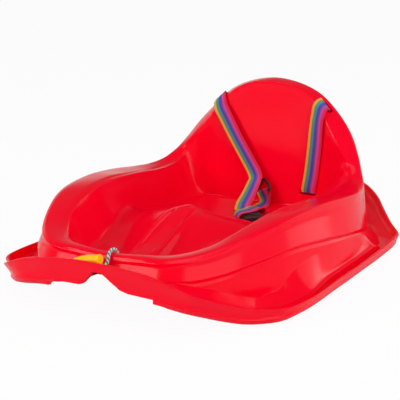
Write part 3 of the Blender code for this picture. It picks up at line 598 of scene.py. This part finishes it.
FOOT = [
    (0, -289, 47), (45, -285, 47), (82, -267, 47), (101, -232, 48),
    (108, -187, 50), (120, -132, 62), (138, -67, 74), (142, 3, 55),
    (139, 63, 53), (136, 105, 53), (130, 132, 53), (122, 148, 53),
    (117, 156, 53), (90, 157, 53), (62, 157, 53), (31, 157, 53), (0, 157, 53),
]
SEAT_MIDDLE_Y = [
    -289, -281, -262, -230, -192, -147, -102, -47, 3, 43, 73, 98, 115, 129, 140, 149, 157,
]
HULL_MIDDLE_Y = [
    -344, -338, -322, -292, -237, -167, -72, 3, 63, 113, 138, 168, 213, 263, 308, 338, 349,
]
KEEL = [(-345, 33), (-267, 10), (-197, 0), (125, 0), (180, 3), (228, 12), (290, 32), (351, 54)]
CHANNEL_ROOF = [(-240, 25), (-167, 16), (145, 16), (262, 30)]
HUMP_CREST_Z = [(0, 105), (27, 97), (53, 89), (80, 82), (107, 78), (140, 75)]
HUMP_CREST_Y = [(0, -111), (30, -108), (60, -94), (80, -79), (107, -75), (140, -66)]
SEAT_PAN_Z = 52.0
WELL_Z = 47.0
HUMP_RUN = [(0, 176), (22, 176), (29, 128), (60, 100), (140, 96)]
RIB_TOP = [(-289, 55), (-244, 60), (-204, 67.5), (-162, 80.5), (-130, 96), (-110, 104)]
RIB_FOOT = 15.4
RIB_SIDE = 4.4
RIB_GROOVE = 7.5
RIB_ACROSS = (0, 6, 9.6, 11.2, 12.8, 14.4, 16, 17.6, 19.4, 22, 25.6, 29.4)
# The seat's rows reach this share of the way to the wall's foot before the corner is rounded.
SEAT_EDGE = 0.84
# Hollow of the outer wall under the shoulder: (share of the way down, share of the depth)
WAIST_DEPTH = 3.4
WAIST = ((0.015, 0.1), (0.05, 0.35), (0.2, 0.9), (0.32, 1.0), (0.38, 0.9), (0.7, 0.3))
# Belt line and the recess under it: (out, down) from the wall's foot
BELT = ((1.3, 0), (1.0, 1.3), (-0.6, 2.6), (-1.2, 4.6), (-0.4, 6.6), (0.8, 8.0))
BELT_FALL = 8.0
# Cove at the wall's foot, and the kerb along the sides: how far in from the rim it starts, and
# its height over the gutter
COVE_RUN = 22.0
KERB_IN = 16.5
KERB_RISE = 12.0
RIM_THICK = 4.0
CHINE_STEP = 5.6
CHINE_HEIGHT = 8.0
# Stations of the bow's corner, where the rim bulges and the wall's foot has its knee
CORNER = 4.6
KNEE = 4.65
CORNER_BULGE = np.array([3.0, -2.2, 0])
# Upright skirt under the belt line: (station, depth)
SKIRT = [(2.2, 0), (2.5, 8), (3, 18), (3.5, 36), (4, 50), (4.6, 49), (5, 31), (5.6, 19), (6.4, 13),
         (7.2, 10), (8.2, 7), (9.6, 0)]
POCKET = [
    (-339, -20), (-341, 61), (-322, 58), (-303, 46),
    (-289, 43.5), (-265, 36), (-215, 19), (-160, 0), (-150, -20),
]
POCKET_WIDE = [
    (-336, -20), (-336, 41), (-300, 40), (-289, 33), (-240, 20), (-185, 0), (-178, -20),
]
NOTCH = [
    (-86, 20), (106, 20), (106, 29), (88, 40.4), (50, 41.4), (37, 44.6), (27, 52.6), (15, 64),
    (12, 65.6), (0, 65.6), (-3, 64), (-14, 52.6), (-22, 44.4), (-28, 42.4), (-70, 41.4),
    (-76, 37), (-86, 29),
]


def curve_at(points, t):
    """Point t of a smooth design line; the middle's neighbours are mirrored."""
    pts = np.asarray(points, float)
    last = len(pts) - 1
    t = min(max(t, 0.0), last - 1e-9)
    i = int(t)
    f = t - i
    mirror = np.array([-1.0, 1.0, 1.0])
    before = pts[i - 1] if i > 0 else pts[1] * mirror
    after = pts[i + 2] if i + 2 <= last else pts[last - 1] * mirror
    a, b = pts[i], pts[i + 1]
    return 0.5 * (2 * a + (b - before) * f + (2 * before - 5 * a + 4 * b - after) * f * f
                  + (3 * a - before - 3 * b + after) * f ** 3)


def at_station(values, t):
    """Value t of a list that has one value for each station."""
    return float(np.interp(t, range(len(values)), values))


def along(table, value):
    """What a table of (place, amount) says at a place."""
    xs, ys = zip(*table)
    return float(np.interp(value, xs, ys))


def seat_height(x, y):
    """Top of the seat: pan, knee hump, leg wells and the rib between them."""
    x = abs(x)
    crest_y = along(HUMP_CREST_Y, x)
    crest_z = along(HUMP_CREST_Z, x)
    if y >= crest_y:
        pan = smooth(1 - (y - crest_y - 8) / 70)
        return SEAT_PAN_Z + (crest_z - SEAT_PAN_Z) * pan
    run = smooth(1 - (crest_y - y - 6) / along(HUMP_RUN, x))
    height = WELL_Z + (crest_z - WELL_Z) * run
    side = smooth((RIB_FOOT - x) / RIB_SIDE) * smooth((y + 289) / 22)
    height = height * (1 - side) + along(RIB_TOP, y) * side
    fold = smooth(1 - abs(x - RIB_FOOT) / 4.0)
    return height - RIB_GROOVE * fold * smooth((y + 222) / 20) * smooth((-y - 112) / 20)


def dish_depth(t):
    """How far the armrest's top is dished between the brow and the lip."""
    hollow = 3.0 * smooth((t - 7.3) / 0.8) * smooth((9.9 - t) / 0.8)
    return 5.0 * smooth((t - 5.2) / 1.4) * smooth((10.2 - t) / 1.2) + hollow


def seat_points(t, foot):
    """Across the seat, from its middle to the foot of the inner wall."""
    middle = np.array([0.0, at_station(SEAT_MIDDLE_Y, t), 0.0])
    fractions = [min(x / max(foot[0], 1), 0.04 * i) for i, x in enumerate(RIB_ACROSS)]
    last = fractions[-1]
    fractions += [last + (SEAT_EDGE - last) * part / 8 for part in range(1, 9)]
    points = []
    for f in fractions:
        p = mix(middle, foot, f)
        blend = smooth((f - 0.5) / 0.5)
        p[2] = seat_height(p[0], p[1]) * (1 - blend) + foot[2] * blend
        points.append(p)
    return points


def inner_wall_points(t, inward, foot, brow, lip):
    """Up the inner wall from the seat's rounded corner, then over the brow to the lip."""
    wall = mix(foot, brow, 0.14)
    points = [mix(foot, inward, 0.12), mix(foot, mix(inward, wall, 0.5), 0.3) + [0, 0, 0.6]]
    points += [mix(foot, brow, f) for f in (0.07, 0.35, 0.75)]
    points += [mix(brow, mix(foot, brow, 0.9), 0.6), mix(brow, lip, 0.12)]
    points += [mix(brow, lip, 0.5) - [0, 0, dish_depth(t) * 0.8], mix(brow, lip, 0.88)]
    return points


def ledge_points(lip, shoulder, arm):
    """Over the armrest's ledge, or the backrest's edge, from the lip to the outer shoulder."""
    step = shoulder - lip
    crown = 0.7 * smooth(np.hypot(step[0], step[1]) / 30)
    fall = lip[2] - shoulder[2]
    ledge = mix(lip, shoulder, 0.68 + 0.16 * arm)
    if fall < 0.5:
        ledge[2] += crown
    else:
        ledge[2] = lip[2] * 0.85 + shoulder[2] * 0.15 + crown * 0.6
    return [lip, mix(lip, ledge, 0.5) + [0, 0, crown * 0.6], ledge,
            mix(ledge, shoulder, 0.35) - [0, 0, max(fall, 0) * 0.22],
            mix(ledge, shoulder, 0.82) + [0, 0, 0.2]]


def outer_wall_points(t, shoulder, base, out, arm):
    """Down the outer wall: hollow waist, belt line, recess and skirt; and where it ends."""
    down = np.array([0, 0, -1.0])
    waist = WAIST_DEPTH * arm * smooth((shoulder[2] - base[2]) / 30)
    belt = smooth((t - 1.9) / 0.7) * smooth((9.7 - t) / 1.4)
    points = [mix(shoulder, base, f) - out * waist * share for f, share in WAIST]
    points += [mix(shoulder, base, 0.94) + out * 0.6 * belt]
    points += [base + (out * a + down * b) * belt for a, b in BELT]
    knee = 3.0 * smooth(1 - abs(t - KNEE) / 0.4)
    fall = BELT_FALL * belt
    drop = max(along(SKIRT, t), fall) - fall
    base = base + out * (belt * 0.8 + drop * 0.12 + knee) + down * (fall + drop)
    points += [mix(points[-1], base, 0.5), mix(points[-1], base, 0.96)]
    return points, base


def gutter_points(t, base, inner, toe):
    """Cove, kerb along the sides, gutter and the foot of the rim's inner face."""
    gutter = at_station(GUTTER_Z, t)
    wide = np.linalg.norm((toe - base)[:2])
    rear = smooth((t - 9.5) / 1.5)
    kerb = smooth((t - 4.6) / 1.0) * smooth((8.7 - t) / 0.4)
    cove = min(0.85, COVE_RUN / wide) * (1 - rear) + 0.72 * rear
    cove = cove * (1 - kerb) + (1 - KERB_IN / wide) * kerb
    rise = KERB_RISE * kerb
    points = []
    for f in (0, 0.06, 0.2, 0.4, 0.66, 0.9, 1):
        p = mix(base, toe, cove * f)
        p[2] = gutter + rise + (base[2] - gutter - rise) * (1 - f) ** (1.35 + 0.55 * rear)
        points.append(p)
    shelf = points[-1]
    for f, share in ((0.3, 1.0), (0.34, 0.9), (0.38, 0.2), (0.45, 0)):
        points += [mix(shelf, toe, f) * [1, 1, 0] + [0, 0, gutter + rise * share]]
    points += [mix(base, toe, 0.95) * [1, 1, 0] + [0, 0, gutter]]
    points += [toe + (inner - toe) * [0.45, 0.45, 0] + [0, 0, 1.6]]
    return points


def rim_points(rim, inner):
    """Up the rim's inner face and over its rounded top."""
    points = [inner * [1, 1, 0] + [0, 0, rim[2] - below] for below in (1.6, 0.5)]
    points += [mix(inner, rim, f) for f in (0.18, 0.84)]
    points += [rim - [0, 0, below] for below in (0.5, 1.6)]
    return points


def hull_points(t, rim, edge, out):
    """Down the skirt with its chine ledge, round the hull's edge and under to the keel."""
    keel = np.array([0.0, at_station(HULL_MIDDLE_Y, t), 0.0])
    chine = mix(rim, edge, 1 - CHINE_HEIGHT / (rim[2] - edge[2]))
    chine_step = CHINE_STEP * (1 - 0.8 * smooth((t - 4.6) / 0.5))
    points = [chine - out * chine_step * 0.5 + [0, 0, 0.7], chine + out * chine_step * 0.5]
    under = edge[2] - 2.2
    span = max(np.linalg.norm((edge - keel)[:2]), 8)
    points += [edge + [0, 0, 1.5], mix(edge, keel, 4 / span) * [1, 1, 0] + [0, 0, max(under, 0.5)]]
    for f in (0.16, 0.35, 0.6, 0.82, 1.0):
        p = mix(edge, keel, f)
        settle = smooth(f / 0.16)
        p[2] = under * (1 - settle) + along(KEEL, p[1]) * settle
        points.append(p)
    return points


def section(t):
    """One closed section of the half hull, from the seat's middle to the keel's middle."""
    lip, brow, shoulder = curve_at(LIP_INNER, t), curve_at(BROW, t), curve_at(SHOULDER, t)
    base, rim, edge = curve_at(WALL_BASE, t), curve_at(RIM_TOP, t), curve_at(HULL_EDGE, t)
    foot = curve_at(FOOT, t)
    corner = smooth(1 - abs(t - CORNER) / 0.5) * CORNER_BULGE
    rim = rim + corner
    edge = edge + corner
    away = (base - rim) * [1, 1, 0]
    away /= np.linalg.norm(away)
    inner = rim + away * RIM_THICK
    toe = rim + away * (RIM_THICK + 2.5)
    toe[2] = at_station(GUTTER_Z, t) + 1.0
    arm = smooth((9.4 - t) / 0.8)
    points = seat_points(t, foot)
    points += inner_wall_points(t, points[-1], foot, brow, lip)
    points += ledge_points(lip, shoulder, arm)
    wall, base = outer_wall_points(t, shoulder, base, -away, arm)
    points += wall + gutter_points(t, base, inner, toe) + rim_points(rim, inner)
    return points + hull_points(t, rim, edge, -away)


# Slots: middle of the mouth, direction of the long side, direction through, (length, height,
# depth of the cut), and how far through the rear wall and the middle of the keeper bar are
SHOULDER_SLOT = (97, 174, 225.8)
SHOULDER_WIDE = (-0.735, 0.0, 0.675)
SHOULDER_THROUGH = (-0.45, 0.75, -0.49)
SHOULDER_SIZE = (30, 8, 60)
SHOULDER_EXIT = 27.5
SHOULDER_BAR = 32.0
HIP_SLOT = (77, 158, 78)
HIP_WIDE = (1, -0.115, 0)
HIP_THROUGH = (0, 1, 0)
HIP_MOUTH = (75.4, 158.2, 78)
HIP_SIZE = (29.5, 7, 80)
HIP_EXIT = 59.0
HIP_BAR = 61.1
SLOT_CORNER = 1.8
# Softened mouth: (depth, how much wider)
SLOT_MOUTH = ((-20.0, 5.0), (-3.0, 2.6), (-0.6, 0.9), (0.6, 0.25), (2.0, 0.0))
# Half widths of the channel between the runners at its foot and its roof, of the pocket under
# the bow and of its wider, lower part, and the y from which to which the notch is cut
CHANNEL_FOOT_HALF = 39
CHANNEL_ROOF_HALF = 21
POCKET_HALF = 83
POCKET_WIDE_HALF = 112
NOTCH_REACH = (-385, -338.2)
GROOVE_STATIONS = (-190, -100, 0, 100, 170)
# A runner's groove: (x, height over the keel line)
GROOVE = ((52, -8), (66, -8), (63, 5), (62, 6), (56, 6), (55, 5))


def flip(v, side):
    return (v[0] * side, v[1], v[2])


def frame_of(through, wide):
    """Unit vectors through a slot, along its length and along its height."""
    t = np.asarray(wide, float) / np.linalg.norm(wide)
    d = np.asarray(through, float)
    d = d - t * np.dot(d, t)
    d = d / np.linalg.norm(d)
    return d, t, np.cross(d, t)


def slot_cutter(centre, wide, through, size):
    """A slot with round corners and a softened mouth."""
    d, t, u = frame_of(through, wide)
    length, height, cut_depth = size
    long, high = length / 2 - SLOT_CORNER, height / 2 - SLOT_CORNER
    rings = []
    for depth, grow in (*SLOT_MOUTH, (cut_depth, 0.0)):
        ring = []
        corner = SLOT_CORNER + grow
        for cx, cy, begin in ((1, 1, 0), (-1, 1, 90), (-1, -1, 180), (1, -1, 270)):
            for step in range(5):
                a = math.radians(begin + 22.5 * step)
                x = cx * long + corner * math.cos(a)
                y = cy * high + corner * math.sin(a)
                ring.append(np.asarray(centre, float) + d * depth + t * x + u * y)
        rings.append(ring)
    return rings_piece("slot_cutter", rings)


def channel_cutter():
    half = CHANNEL_ROOF_HALF
    rings = []
    for y, roof in CHANNEL_ROOF:
        floor = along(KEEL, y) - 8
        outline = [(-CHANNEL_FOOT_HALF, floor), (CHANNEL_FOOT_HALF, floor), (half, roof - 1.5),
                   (half - 3, roof), (3 - half, roof), (-half, roof - 1.5)]
        rings.append([(x, y, z) for x, z in outline])
    return rings_piece("channel_cutter", rings)


def bow_cutters():
    """The open pocket under the bow, its wider part, and the notch in the skirt's middle."""
    for outline, half in ((POCKET, POCKET_HALF), (POCKET_WIDE, POCKET_WIDE_HALF)):
        yield rings_piece("pocket_cutter", [[(x, y, z) for y, z in outline]
                                            for x in (-half, half)])
    yield rings_piece("notch_cutter", [[(x, y, z) for x, z in NOTCH] for y in NOTCH_REACH])


def groove_cutter(side):
    rings = [[(side * x, y, along(KEEL, y) + z) for x, z in GROOVE] for y in GROOVE_STATIONS]
    return rings_piece("groove_cutter", rings)


def sled_shell():
    """The half hull through its sections, mirrored, rounded and then cut."""
    # The sections lie closest round the rear corner.
    stations = np.concatenate([np.arange(0, 8, 0.1), np.arange(8, 12.5, 0.08),
                               np.arange(12.5, 16.01, 0.125)])
    rings = [section(t) for t in stations]

    def place(column, row):
        x, y, z = rings[row][column]
        return (0.0 if x < 0.05 else x, y, max(z, 0.0))

    shell = grid_piece("sled_shell_visual", len(rings[0]), len(rings), place)
    add(shell, "MIRROR", use_axis=(True, False, False), merge_threshold=0.0001)
    apply_all(shell)
    tidy_mesh(shell)
    add(shell, "SUBSURF", levels=1, render_levels=1)
    apply_all(shell)
    cut_away(shell, channel_cutter())
    for cutter in bow_cutters():
        cut_away(shell, cutter)
    for side in (-1, 1):
        cut_away(shell, groove_cutter(side))
        cut_away(shell, slot_cutter(flip(SHOULDER_SLOT, side), flip(SHOULDER_WIDE, side),
                                    flip(SHOULDER_THROUGH, side), SHOULDER_SIZE))
    cut_away(shell, slot_cutter(HIP_MOUTH, HIP_WIDE, HIP_THROUGH, HIP_SIZE))
    deselect()
    bpy.ops.mesh.primitive_cylinder_add(vertices=24, radius=CORD_HOLE_RADIUS * MM,
                                        depth=40 * MM, location=Vector((*CORD_HOLE, 46)) * MM)
    cut_away(shell, bpy.context.object)
    smooth_by_angle(shell, 32)
    return finish_piece(shell, RED, "sled", ("sled_shell",))


sled_shell()


# Harness webbing

WEB_WIDTH = 25.0
WEB_THICK = 1.4
# Gap between the webbing and what it goes round, or its own other layer
WEB_GAP = 0.35
BAR_DIAMETER = 3.5
# The socket's end bar: its radius and its place along the buckle
SOCKET_BAR_RADIUS = 2.2
SOCKET_BAR_AT = -27.3
# Points of the webbing's paths: x, y, z and the direction across it
OVER_LIP = [
    (98.1, 170.2, 227.9, -0.72, 0.08, 0.69), (95.6, 165.2, 227.4, -0.74, 0.06, 0.67),
    (93.2, 159.0, 222.6, -0.83, 0.04, 0.56),
]
RIGHT_DOWN = [
    (90.6, 156.0, 208, -0.96, 0.18, 0.3), (89.5, 154.8, 196, -0.98, 0.18, 0.1),
    (88.5, 154.8, 182, -1, 0.1, 0), (86.5, 155.4, 155, -1, 0.03, 0), (82, 155.8, 112, -1, 0, 0),
    (78.6, 155.4, 90, -1, 0, 0), (77.2, 156.8, 81, -1, 0, 0),
]
LEFT_DOWN = [
    (-89.5, 155.8, 211, 0.94, 0.18, 0.34), (-81, 153.8, 198, 0.88, 0.1, 0.46),
    (-60, 152.5, 163.5, 0.86, 0, 0.5), (-38, 149.3, 132.5, 0.88, 0, 0.48),
    (-22, 147, 110, 0.93, 0, 0.3), (-14.6, 142, 98.6, 0.98, 0, 0.2),
    (-12.5, 132, 91, 1, 0.05, 0.1), (-8.5, 106, 77, 1, 0.1, 0), (-7, 86, 66, 0.93, 0.36, 0),
    (-2.5, 72, 61, 0.8, 0.6, 0),
]
LAP_DOWN = [
    (4.5, 140, 57, 0.95, -0.2, 0.2), (4, 132, 53.8, 1, 0, 0), (6, 114, 53.4, 1, 0.1, 0),
    (14, 97, 54, 0.95, 0.3, 0), (21.5, 84, 58.2, 0.95, 0.3, 0), (24.2, 74, 64.4, 0.97, 0.1, 0),
    (24.8, 64, 66.7, 0.97, 0, 0), (24.2, 50, 66.3, 0.9, -0.25, 0),
    (22, 38, 66.2, 0.8, -0.5, 0), (17.2, 28.6, 65.9, 0.75, -0.65, 0),
    (13.6, 24.0, 62.5, 0.72, -0.69, 0), (13.0, 23.2, 58.6, 0.72, -0.69, 0),
]
# Buckle: its middle, the way the plug leaves it, and the way across
BUCKLE_CENTRE = np.array([25.7, 41.6, 58.4])
BUCKLE_ALONG = np.array([0.72, -0.694, 0])
BUCKLE_ACROSS = np.array([0.694, 0.72, 0])
# Ring: middle and direction of its thick bar, the way to its far corner, half its width, and
# the radius of the bar and of the wire
RING_CENTRE = np.array([-1.0, 146.2, 73.5])
RING_BAR_DIRECTION = np.array([0.857, -0.24, 0.457])
RING_RISE = np.array([-6.8, 10.5, 18.5]) * 1.14
RING_HALF_BAR = 15.8
RING_BAR_RADIUS = 2.3
RING_WIRE_RADIUS = 2.15


def buckle_point(ahead, across, up):
    """A place in the buckle's own frame."""
    return BUCKLE_CENTRE + BUCKLE_ALONG * ahead + BUCKLE_ACROSS * across + [0, 0, up]


def slot_path(origin, through, wide, width_sign, lip_side, exit_at, bar_at):
    """The webbing's loop round its bar behind a slot, then back to the slot's mouth."""
    d, t, up = frame_of(through, wide)
    up = up * lip_side
    r = BAR_DIAMETER / 2 + 0.3 + WEB_THICK / 2 + 0.15
    layer = WEB_THICK / 2 + WEB_GAP
    spread = exit_at - 3
    flat = [(exit_at - 16, -layer), (exit_at - 9, -layer), (spread, -layer - 0.4)]
    for degrees in (-78, -45, 0, 45, 78):
        turn = math.radians(degrees)
        flat.append((bar_at + r * math.cos(turn), r * math.sin(turn)))
    flat += [(spread, layer + 0.4), (exit_at - 9, layer), (3.5, layer)]
    c = np.asarray(origin, float)
    return [tuple(c + d * s + up * v) + tuple(t * width_sign) for s, v in flat]


def socket_loop():
    """Left webbing over the socket's end bar, down its slot and back under itself."""
    r = SOCKET_BAR_RADIUS + WEB_GAP + WEB_THICK / 2
    flat = [(-36, 1.8), (-31, 3.1)]
    for degrees in (100, 60, 20, -20, -60):
        turn = math.radians(degrees)
        flat.append((SOCKET_BAR_AT + r * math.cos(turn), r * math.sin(turn)))
    flat += [(-30.2, -2.8), (-34, -2.0), (-39, -1.8)]
    return [tuple(buckle_point(a, 0, z)) + tuple(BUCKLE_ACROSS) for a, z in flat]


def lap_strap_path():
    """Short webbing: its loop round the ring's bar, then over the buckle and down its side."""
    e1 = RING_BAR_DIRECTION / np.linalg.norm(RING_BAR_DIRECTION)
    g = np.array([0, 0, -1.0])
    g = g - e1 * np.dot(g, e1)
    g = g / np.linalg.norm(g)
    h = np.cross(e1, g)
    r = RING_BAR_RADIUS + WEB_GAP + WEB_THICK / 2
    flat = [(12.5, 1.4), (7, 2.2)]
    for degrees in (80, 40, 0, -40, -80):
        turn = math.radians(degrees)
        flat.append((-r * math.cos(turn), r * math.sin(turn)))
    flat += [(7, -2.0), (12, -1.5)]
    loop = [tuple(RING_CENTRE + g * s + h * v) + tuple(e1) for s, v in flat]
    return loop + LAP_DOWN


def webbing(name, points, node_name, turned=False):
    """Flat webbing with thin rounded edges; UV is across, and along in widths."""
    path = stretch(points, lambda length: max(3, math.ceil(length / 2.5)))
    centre = path[:, :3]
    ahead = np.gradient(centre, axis=0)
    ahead /= np.linalg.norm(ahead, axis=1)[:, None]
    wide = path[:, 3:] - ahead * np.sum(path[:, 3:] * ahead, axis=1)[:, None]
    wide /= np.linalg.norm(wide, axis=1)[:, None]
    up = np.cross(ahead, wide)
    half = WEB_WIDTH / 2
    thick = WEB_THICK / 2
    shape = []
    for side in (1, -1):
        for x in np.linspace(-1, 1, 13) * side:
            shape.append((x * half, -side * thick * (1 - max(0, abs(x) - 0.94) / 0.06 * 0.55)))
    shape.append(shape[0])
    run = run_along(centre)
    piece = grid_piece(name, len(shape), len(path),
                       lambda c, r: centre[r] + wide[r] * shape[c][0] + up[r] * shape[c][1])
    uv = piece.data.uv_layers.active.data
    for face in piece.data.polygons:
        for loop in face.loop_indices:
            column = round(uv[loop].uv[0] * (len(shape) - 1))
            row = round(uv[loop].uv[1] * (len(path) - 1))
            across = shape[column][0] / (2 * half)
            uv[loop].uv = (0.5 - across if turned else 0.5 + across, run[row] / WEB_WIDTH)
    tidy_mesh(piece, cap=True)
    smooth_by_angle(piece, 50)
    return finish_piece(piece, WEBBING, "sled", (node_name,))


left_top = slot_path(flip(SHOULDER_SLOT, -1), flip(SHOULDER_THROUGH, -1),
                     flip(SHOULDER_WIDE, -1), 1, 1, SHOULDER_EXIT, SHOULDER_BAR)
right_top = slot_path(SHOULDER_SLOT, SHOULDER_THROUGH, SHOULDER_WIDE, 1, -1, SHOULDER_EXIT,
                      SHOULDER_BAR)
right_low = slot_path(HIP_SLOT, HIP_THROUGH, HIP_WIDE, -1, -1, HIP_EXIT, HIP_BAR)
left_lip = [(-x, y, z, -wx, wy, wz) for x, y, z, wx, wy, wz in OVER_LIP]
webbing("left_shoulder_webbing", left_top + left_lip + LEFT_DOWN + socket_loop(),
        "shoulder_strap_left")
webbing("right_shoulder_webbing", right_top + OVER_LIP + RIGHT_DOWN + right_low[::-1],
        "shoulder_strap_right", turned=True)
webbing("lap_webbing", lap_strap_path(), "lap_strap")


# Ring and buckle

def delta_ring():
    """Rounded triangle with short upright sides; its bar is thicker than its wire."""
    e1 = RING_BAR_DIRECTION / np.linalg.norm(RING_BAR_DIRECTION)
    rise = RING_RISE - e1 * np.dot(RING_RISE, e1)
    height = np.linalg.norm(rise)
    e2 = rise / height
    e3 = np.cross(e1, e2)
    shoulder = RING_HALF_BAR - 0.8
    # Corners: along the bar, up from it, rounding
    corners = [(-RING_HALF_BAR, 0, 1.0), (RING_HALF_BAR, 0, 1.0), (shoulder, 7, 2.5),
               (0, height, 4.0), (-shoulder, 7, 2.5)]
    outline = []
    for i, (x, y, r) in enumerate(corners):
        here = np.array([x, y])
        before = np.array(corners[i - 1][:2])
        after = np.array(corners[(i + 1) % len(corners)][:2])
        a = (before - here) / np.linalg.norm(before - here)
        b = (after - here) / np.linalg.norm(after - here)
        for f in np.linspace(0, 1, 9):
            outline.append(here + (a * (1 - f) ** 2 + b * f ** 2) * r * 1.6)
        for f in (0.35, 0.5, 0.65):
            outline.append(here + (after - here) * f)
    outline = np.array(outline)
    count = len(outline)
    ahead = np.roll(outline, -1, axis=0) - np.roll(outline, 1, axis=0)
    ahead /= np.linalg.norm(ahead, axis=1)[:, None]
    around = 16

    def place(column, row):
        x, y = outline[row % count]
        nx, ny = ahead[row % count][1], -ahead[row % count][0]
        r = RING_BAR_RADIUS if y < 0.4 else RING_WIRE_RADIUS
        turn = 2 * math.pi * column / around
        c, s = r * math.cos(turn), r * math.sin(turn)
        return RING_CENTRE + e1 * (x + nx * c) + e2 * (y + ny * c) + e3 * s

    ring = grid_piece("delta_ring_visual", around + 1, count + 1, place)
    tidy_mesh(ring)
    smooth_by_angle(ring, 60)
    return finish_piece(ring, BLACK, "ring", ("delta_ring",))


def buckle_block(name, low, high, soft=0.0):
    """A cube at its place in the buckle's own frame, with its edges softened."""
    deselect()
    bpy.ops.mesh.primitive_cube_add(size=1)
    block = bpy.context.object
    block.name = name
    middle = [(a + b) / 2 for a, b in zip(low, high)]
    size = [b - a for a, b in zip(low, high)]
    for vertex in block.data.vertices:
        place = [m + c * s for m, c, s in zip(middle, vertex.co, size)]
        vertex.co = Vector([float(c) for c in buckle_point(*place)]) * MM
    tidy_mesh(block)
    if soft:
        add(block, "BEVEL", width=soft * MM, segments=3, limit_method="ANGLE")
        apply_all(block)
    return block


# What is cut from the socket: the steps over and under its web end, the slot for the webbing,
# the mouth and a window on each side
SOCKET_CUTS = [
    ((-31, -40, 1.4), (-19, 40, 20)), ((-31, -40, -20), (-19, 40, -1.4)),
    ((-25.6, -13.2, -20), (-19.8, 13.2, 20)), ((-14, -12, -3.6), (14, 12, 3.6)),
    ((-8, 8, -3.6), (3, 40, 3.6)), ((-8, -40, -3.6), (3, -8, 3.6)),
]


def soften(block):
    """Small round edges where the cuts are, and smooth shading."""
    add(block, "BEVEL", width=0.4 * MM, segments=2, limit_method="ANGLE", angle_limit=0.9)
    apply_all(block)
    smooth_by_angle(block, 35)


def buckle_socket():
    socket = buckle_block("buckle_socket_visual", (-29, -16, -6), (9, 16, 6), 2.2)
    for low, high in SOCKET_CUTS:
        cut_away(socket, buckle_block("cutter", low, high))
    soften(socket)
    return finish_piece(socket, BLACK, "sled", ("buckle_socket",))


def buckle_plug():
    plug = buckle_block("buckle_plug_visual", (9.4, -16, -5), (29, 16, 5), 2.0)
    join_to(plug, buckle_block("tongue", (-11, -3.6, -2.6), (13, 3.6, 2.6), 0.8))
    for side in (-1, 1):
        low, high = sorted((side * 7.2, side * 11.2))
        join_to(plug, buckle_block("arm", (-7, low, -2.8), (13, high, 2.8), 0.8))
    cut_away(plug, buckle_block("cutter", (19.6, -13.2, -20), (24.6, 13.2, 20)))
    soften(plug)
    return finish_piece(plug, BLACK, "plug", ("buckle_plug",))


delta_ring()
buckle_socket()
buckle_plug()


# Floor, world and lamps

# Share of plain white in the floor, as the camera sees it
FLOOR_WHITE = 0.95
# Softboxes, all aimed at the sled: place, height of the aim, width, height and watts
LAMPS = [
    ("top_softbox", (0.1, -0.5, 2.2), 0.05, 1.3, 1.3, 11),
    ("left_softbox", (-1.3, -2.1, 1.0), 0.1, 1.1, 1.3, 27),
    ("right_softbox", (2.1, -1.0, 1.1), 0.1, 2.0, 1.9, 25),
    ("back_softbox", (1.9, 2.0, 1.0), 0.1, 2.2, 2.0, 18),
]


def pale_floor():
    """A pale floor; the camera sees it as nearly plain white, with a faint shadow."""
    deselect()
    bpy.ops.mesh.primitive_plane_add(size=30, location=(0, 0, 0))
    floor = bpy.context.object
    floor.name = "pale_floor"
    made, tree, shader = new_material("pale_floor")
    shader.inputs["Base Color"].default_value = (0.9, 0.9, 0.9, 1)
    shader.inputs["Roughness"].default_value = 0.9
    seen = node(tree, "ShaderNodeLightPath").outputs["Is Camera Ray"]
    bright = node(tree, "ShaderNodeEmission", {"Color": (1, 1, 1, 1), "Strength": 1.0})
    share = maths(tree, "MULTIPLY", seen, FLOOR_WHITE)
    blended = node(tree, "ShaderNodeMixShader", {0: share, 1: shader.outputs[0],
                                                 2: bright.outputs[0]})
    output = tree.nodes["Material Output"]
    tree.links.new(blended.outputs[0], output.inputs["Surface"])
    floor.data.materials.append(made)


def pale_world():
    """A pale cove round the object: bright low down, dimmer overhead and in front."""
    world = bpy.data.worlds.new("studio")
    bpy.context.scene.world = world
    world.use_nodes = True
    tree = world.node_tree
    back = tree.nodes["Background"]
    back.inputs["Color"].default_value = (1, 1, 1, 1)
    place = node(tree, "ShaderNodeTexCoord").outputs["Generated"]
    look = node(tree, "ShaderNodeSeparateXYZ", {0: place})
    low = node(tree, "ShaderNodeMapRange", {"Value": look.outputs[2], "From Min": 0.05,
                                            "From Max": 0.5, "To Min": 0.66, "To Max": 0.0},
               interpolation_type="SMOOTHSTEP")
    behind = node(tree, "ShaderNodeMapRange", {"Value": look.outputs[1], "From Min": -0.7,
                                               "From Max": 0.1, "To Min": 0.3, "To Max": 1.0})
    glow = maths(tree, "MULTIPLY", low.outputs[0], behind.outputs[0])
    tree.links.new(maths(tree, "ADD", glow, 0.2), back.inputs["Strength"])


def softboxes():
    for name, place, aim, wide, tall, power in LAMPS:
        data = bpy.data.lights.new(name, "AREA")
        data.shape = "RECTANGLE"
        data.size = wide
        data.size_y = tall
        data.energy = power
        lamp = bpy.data.objects.new(name, data)
        lamp.location = place
        toward = Vector((0, 0, aim)) - Vector(place)
        lamp.rotation_euler = toward.to_track_quat("-Z", "Y").to_euler()
        bpy.context.scene.collection.objects.link(lamp)


pale_floor()
pale_world()
softboxes()
bpy.context.scene.view_settings.view_transform = "Standard"
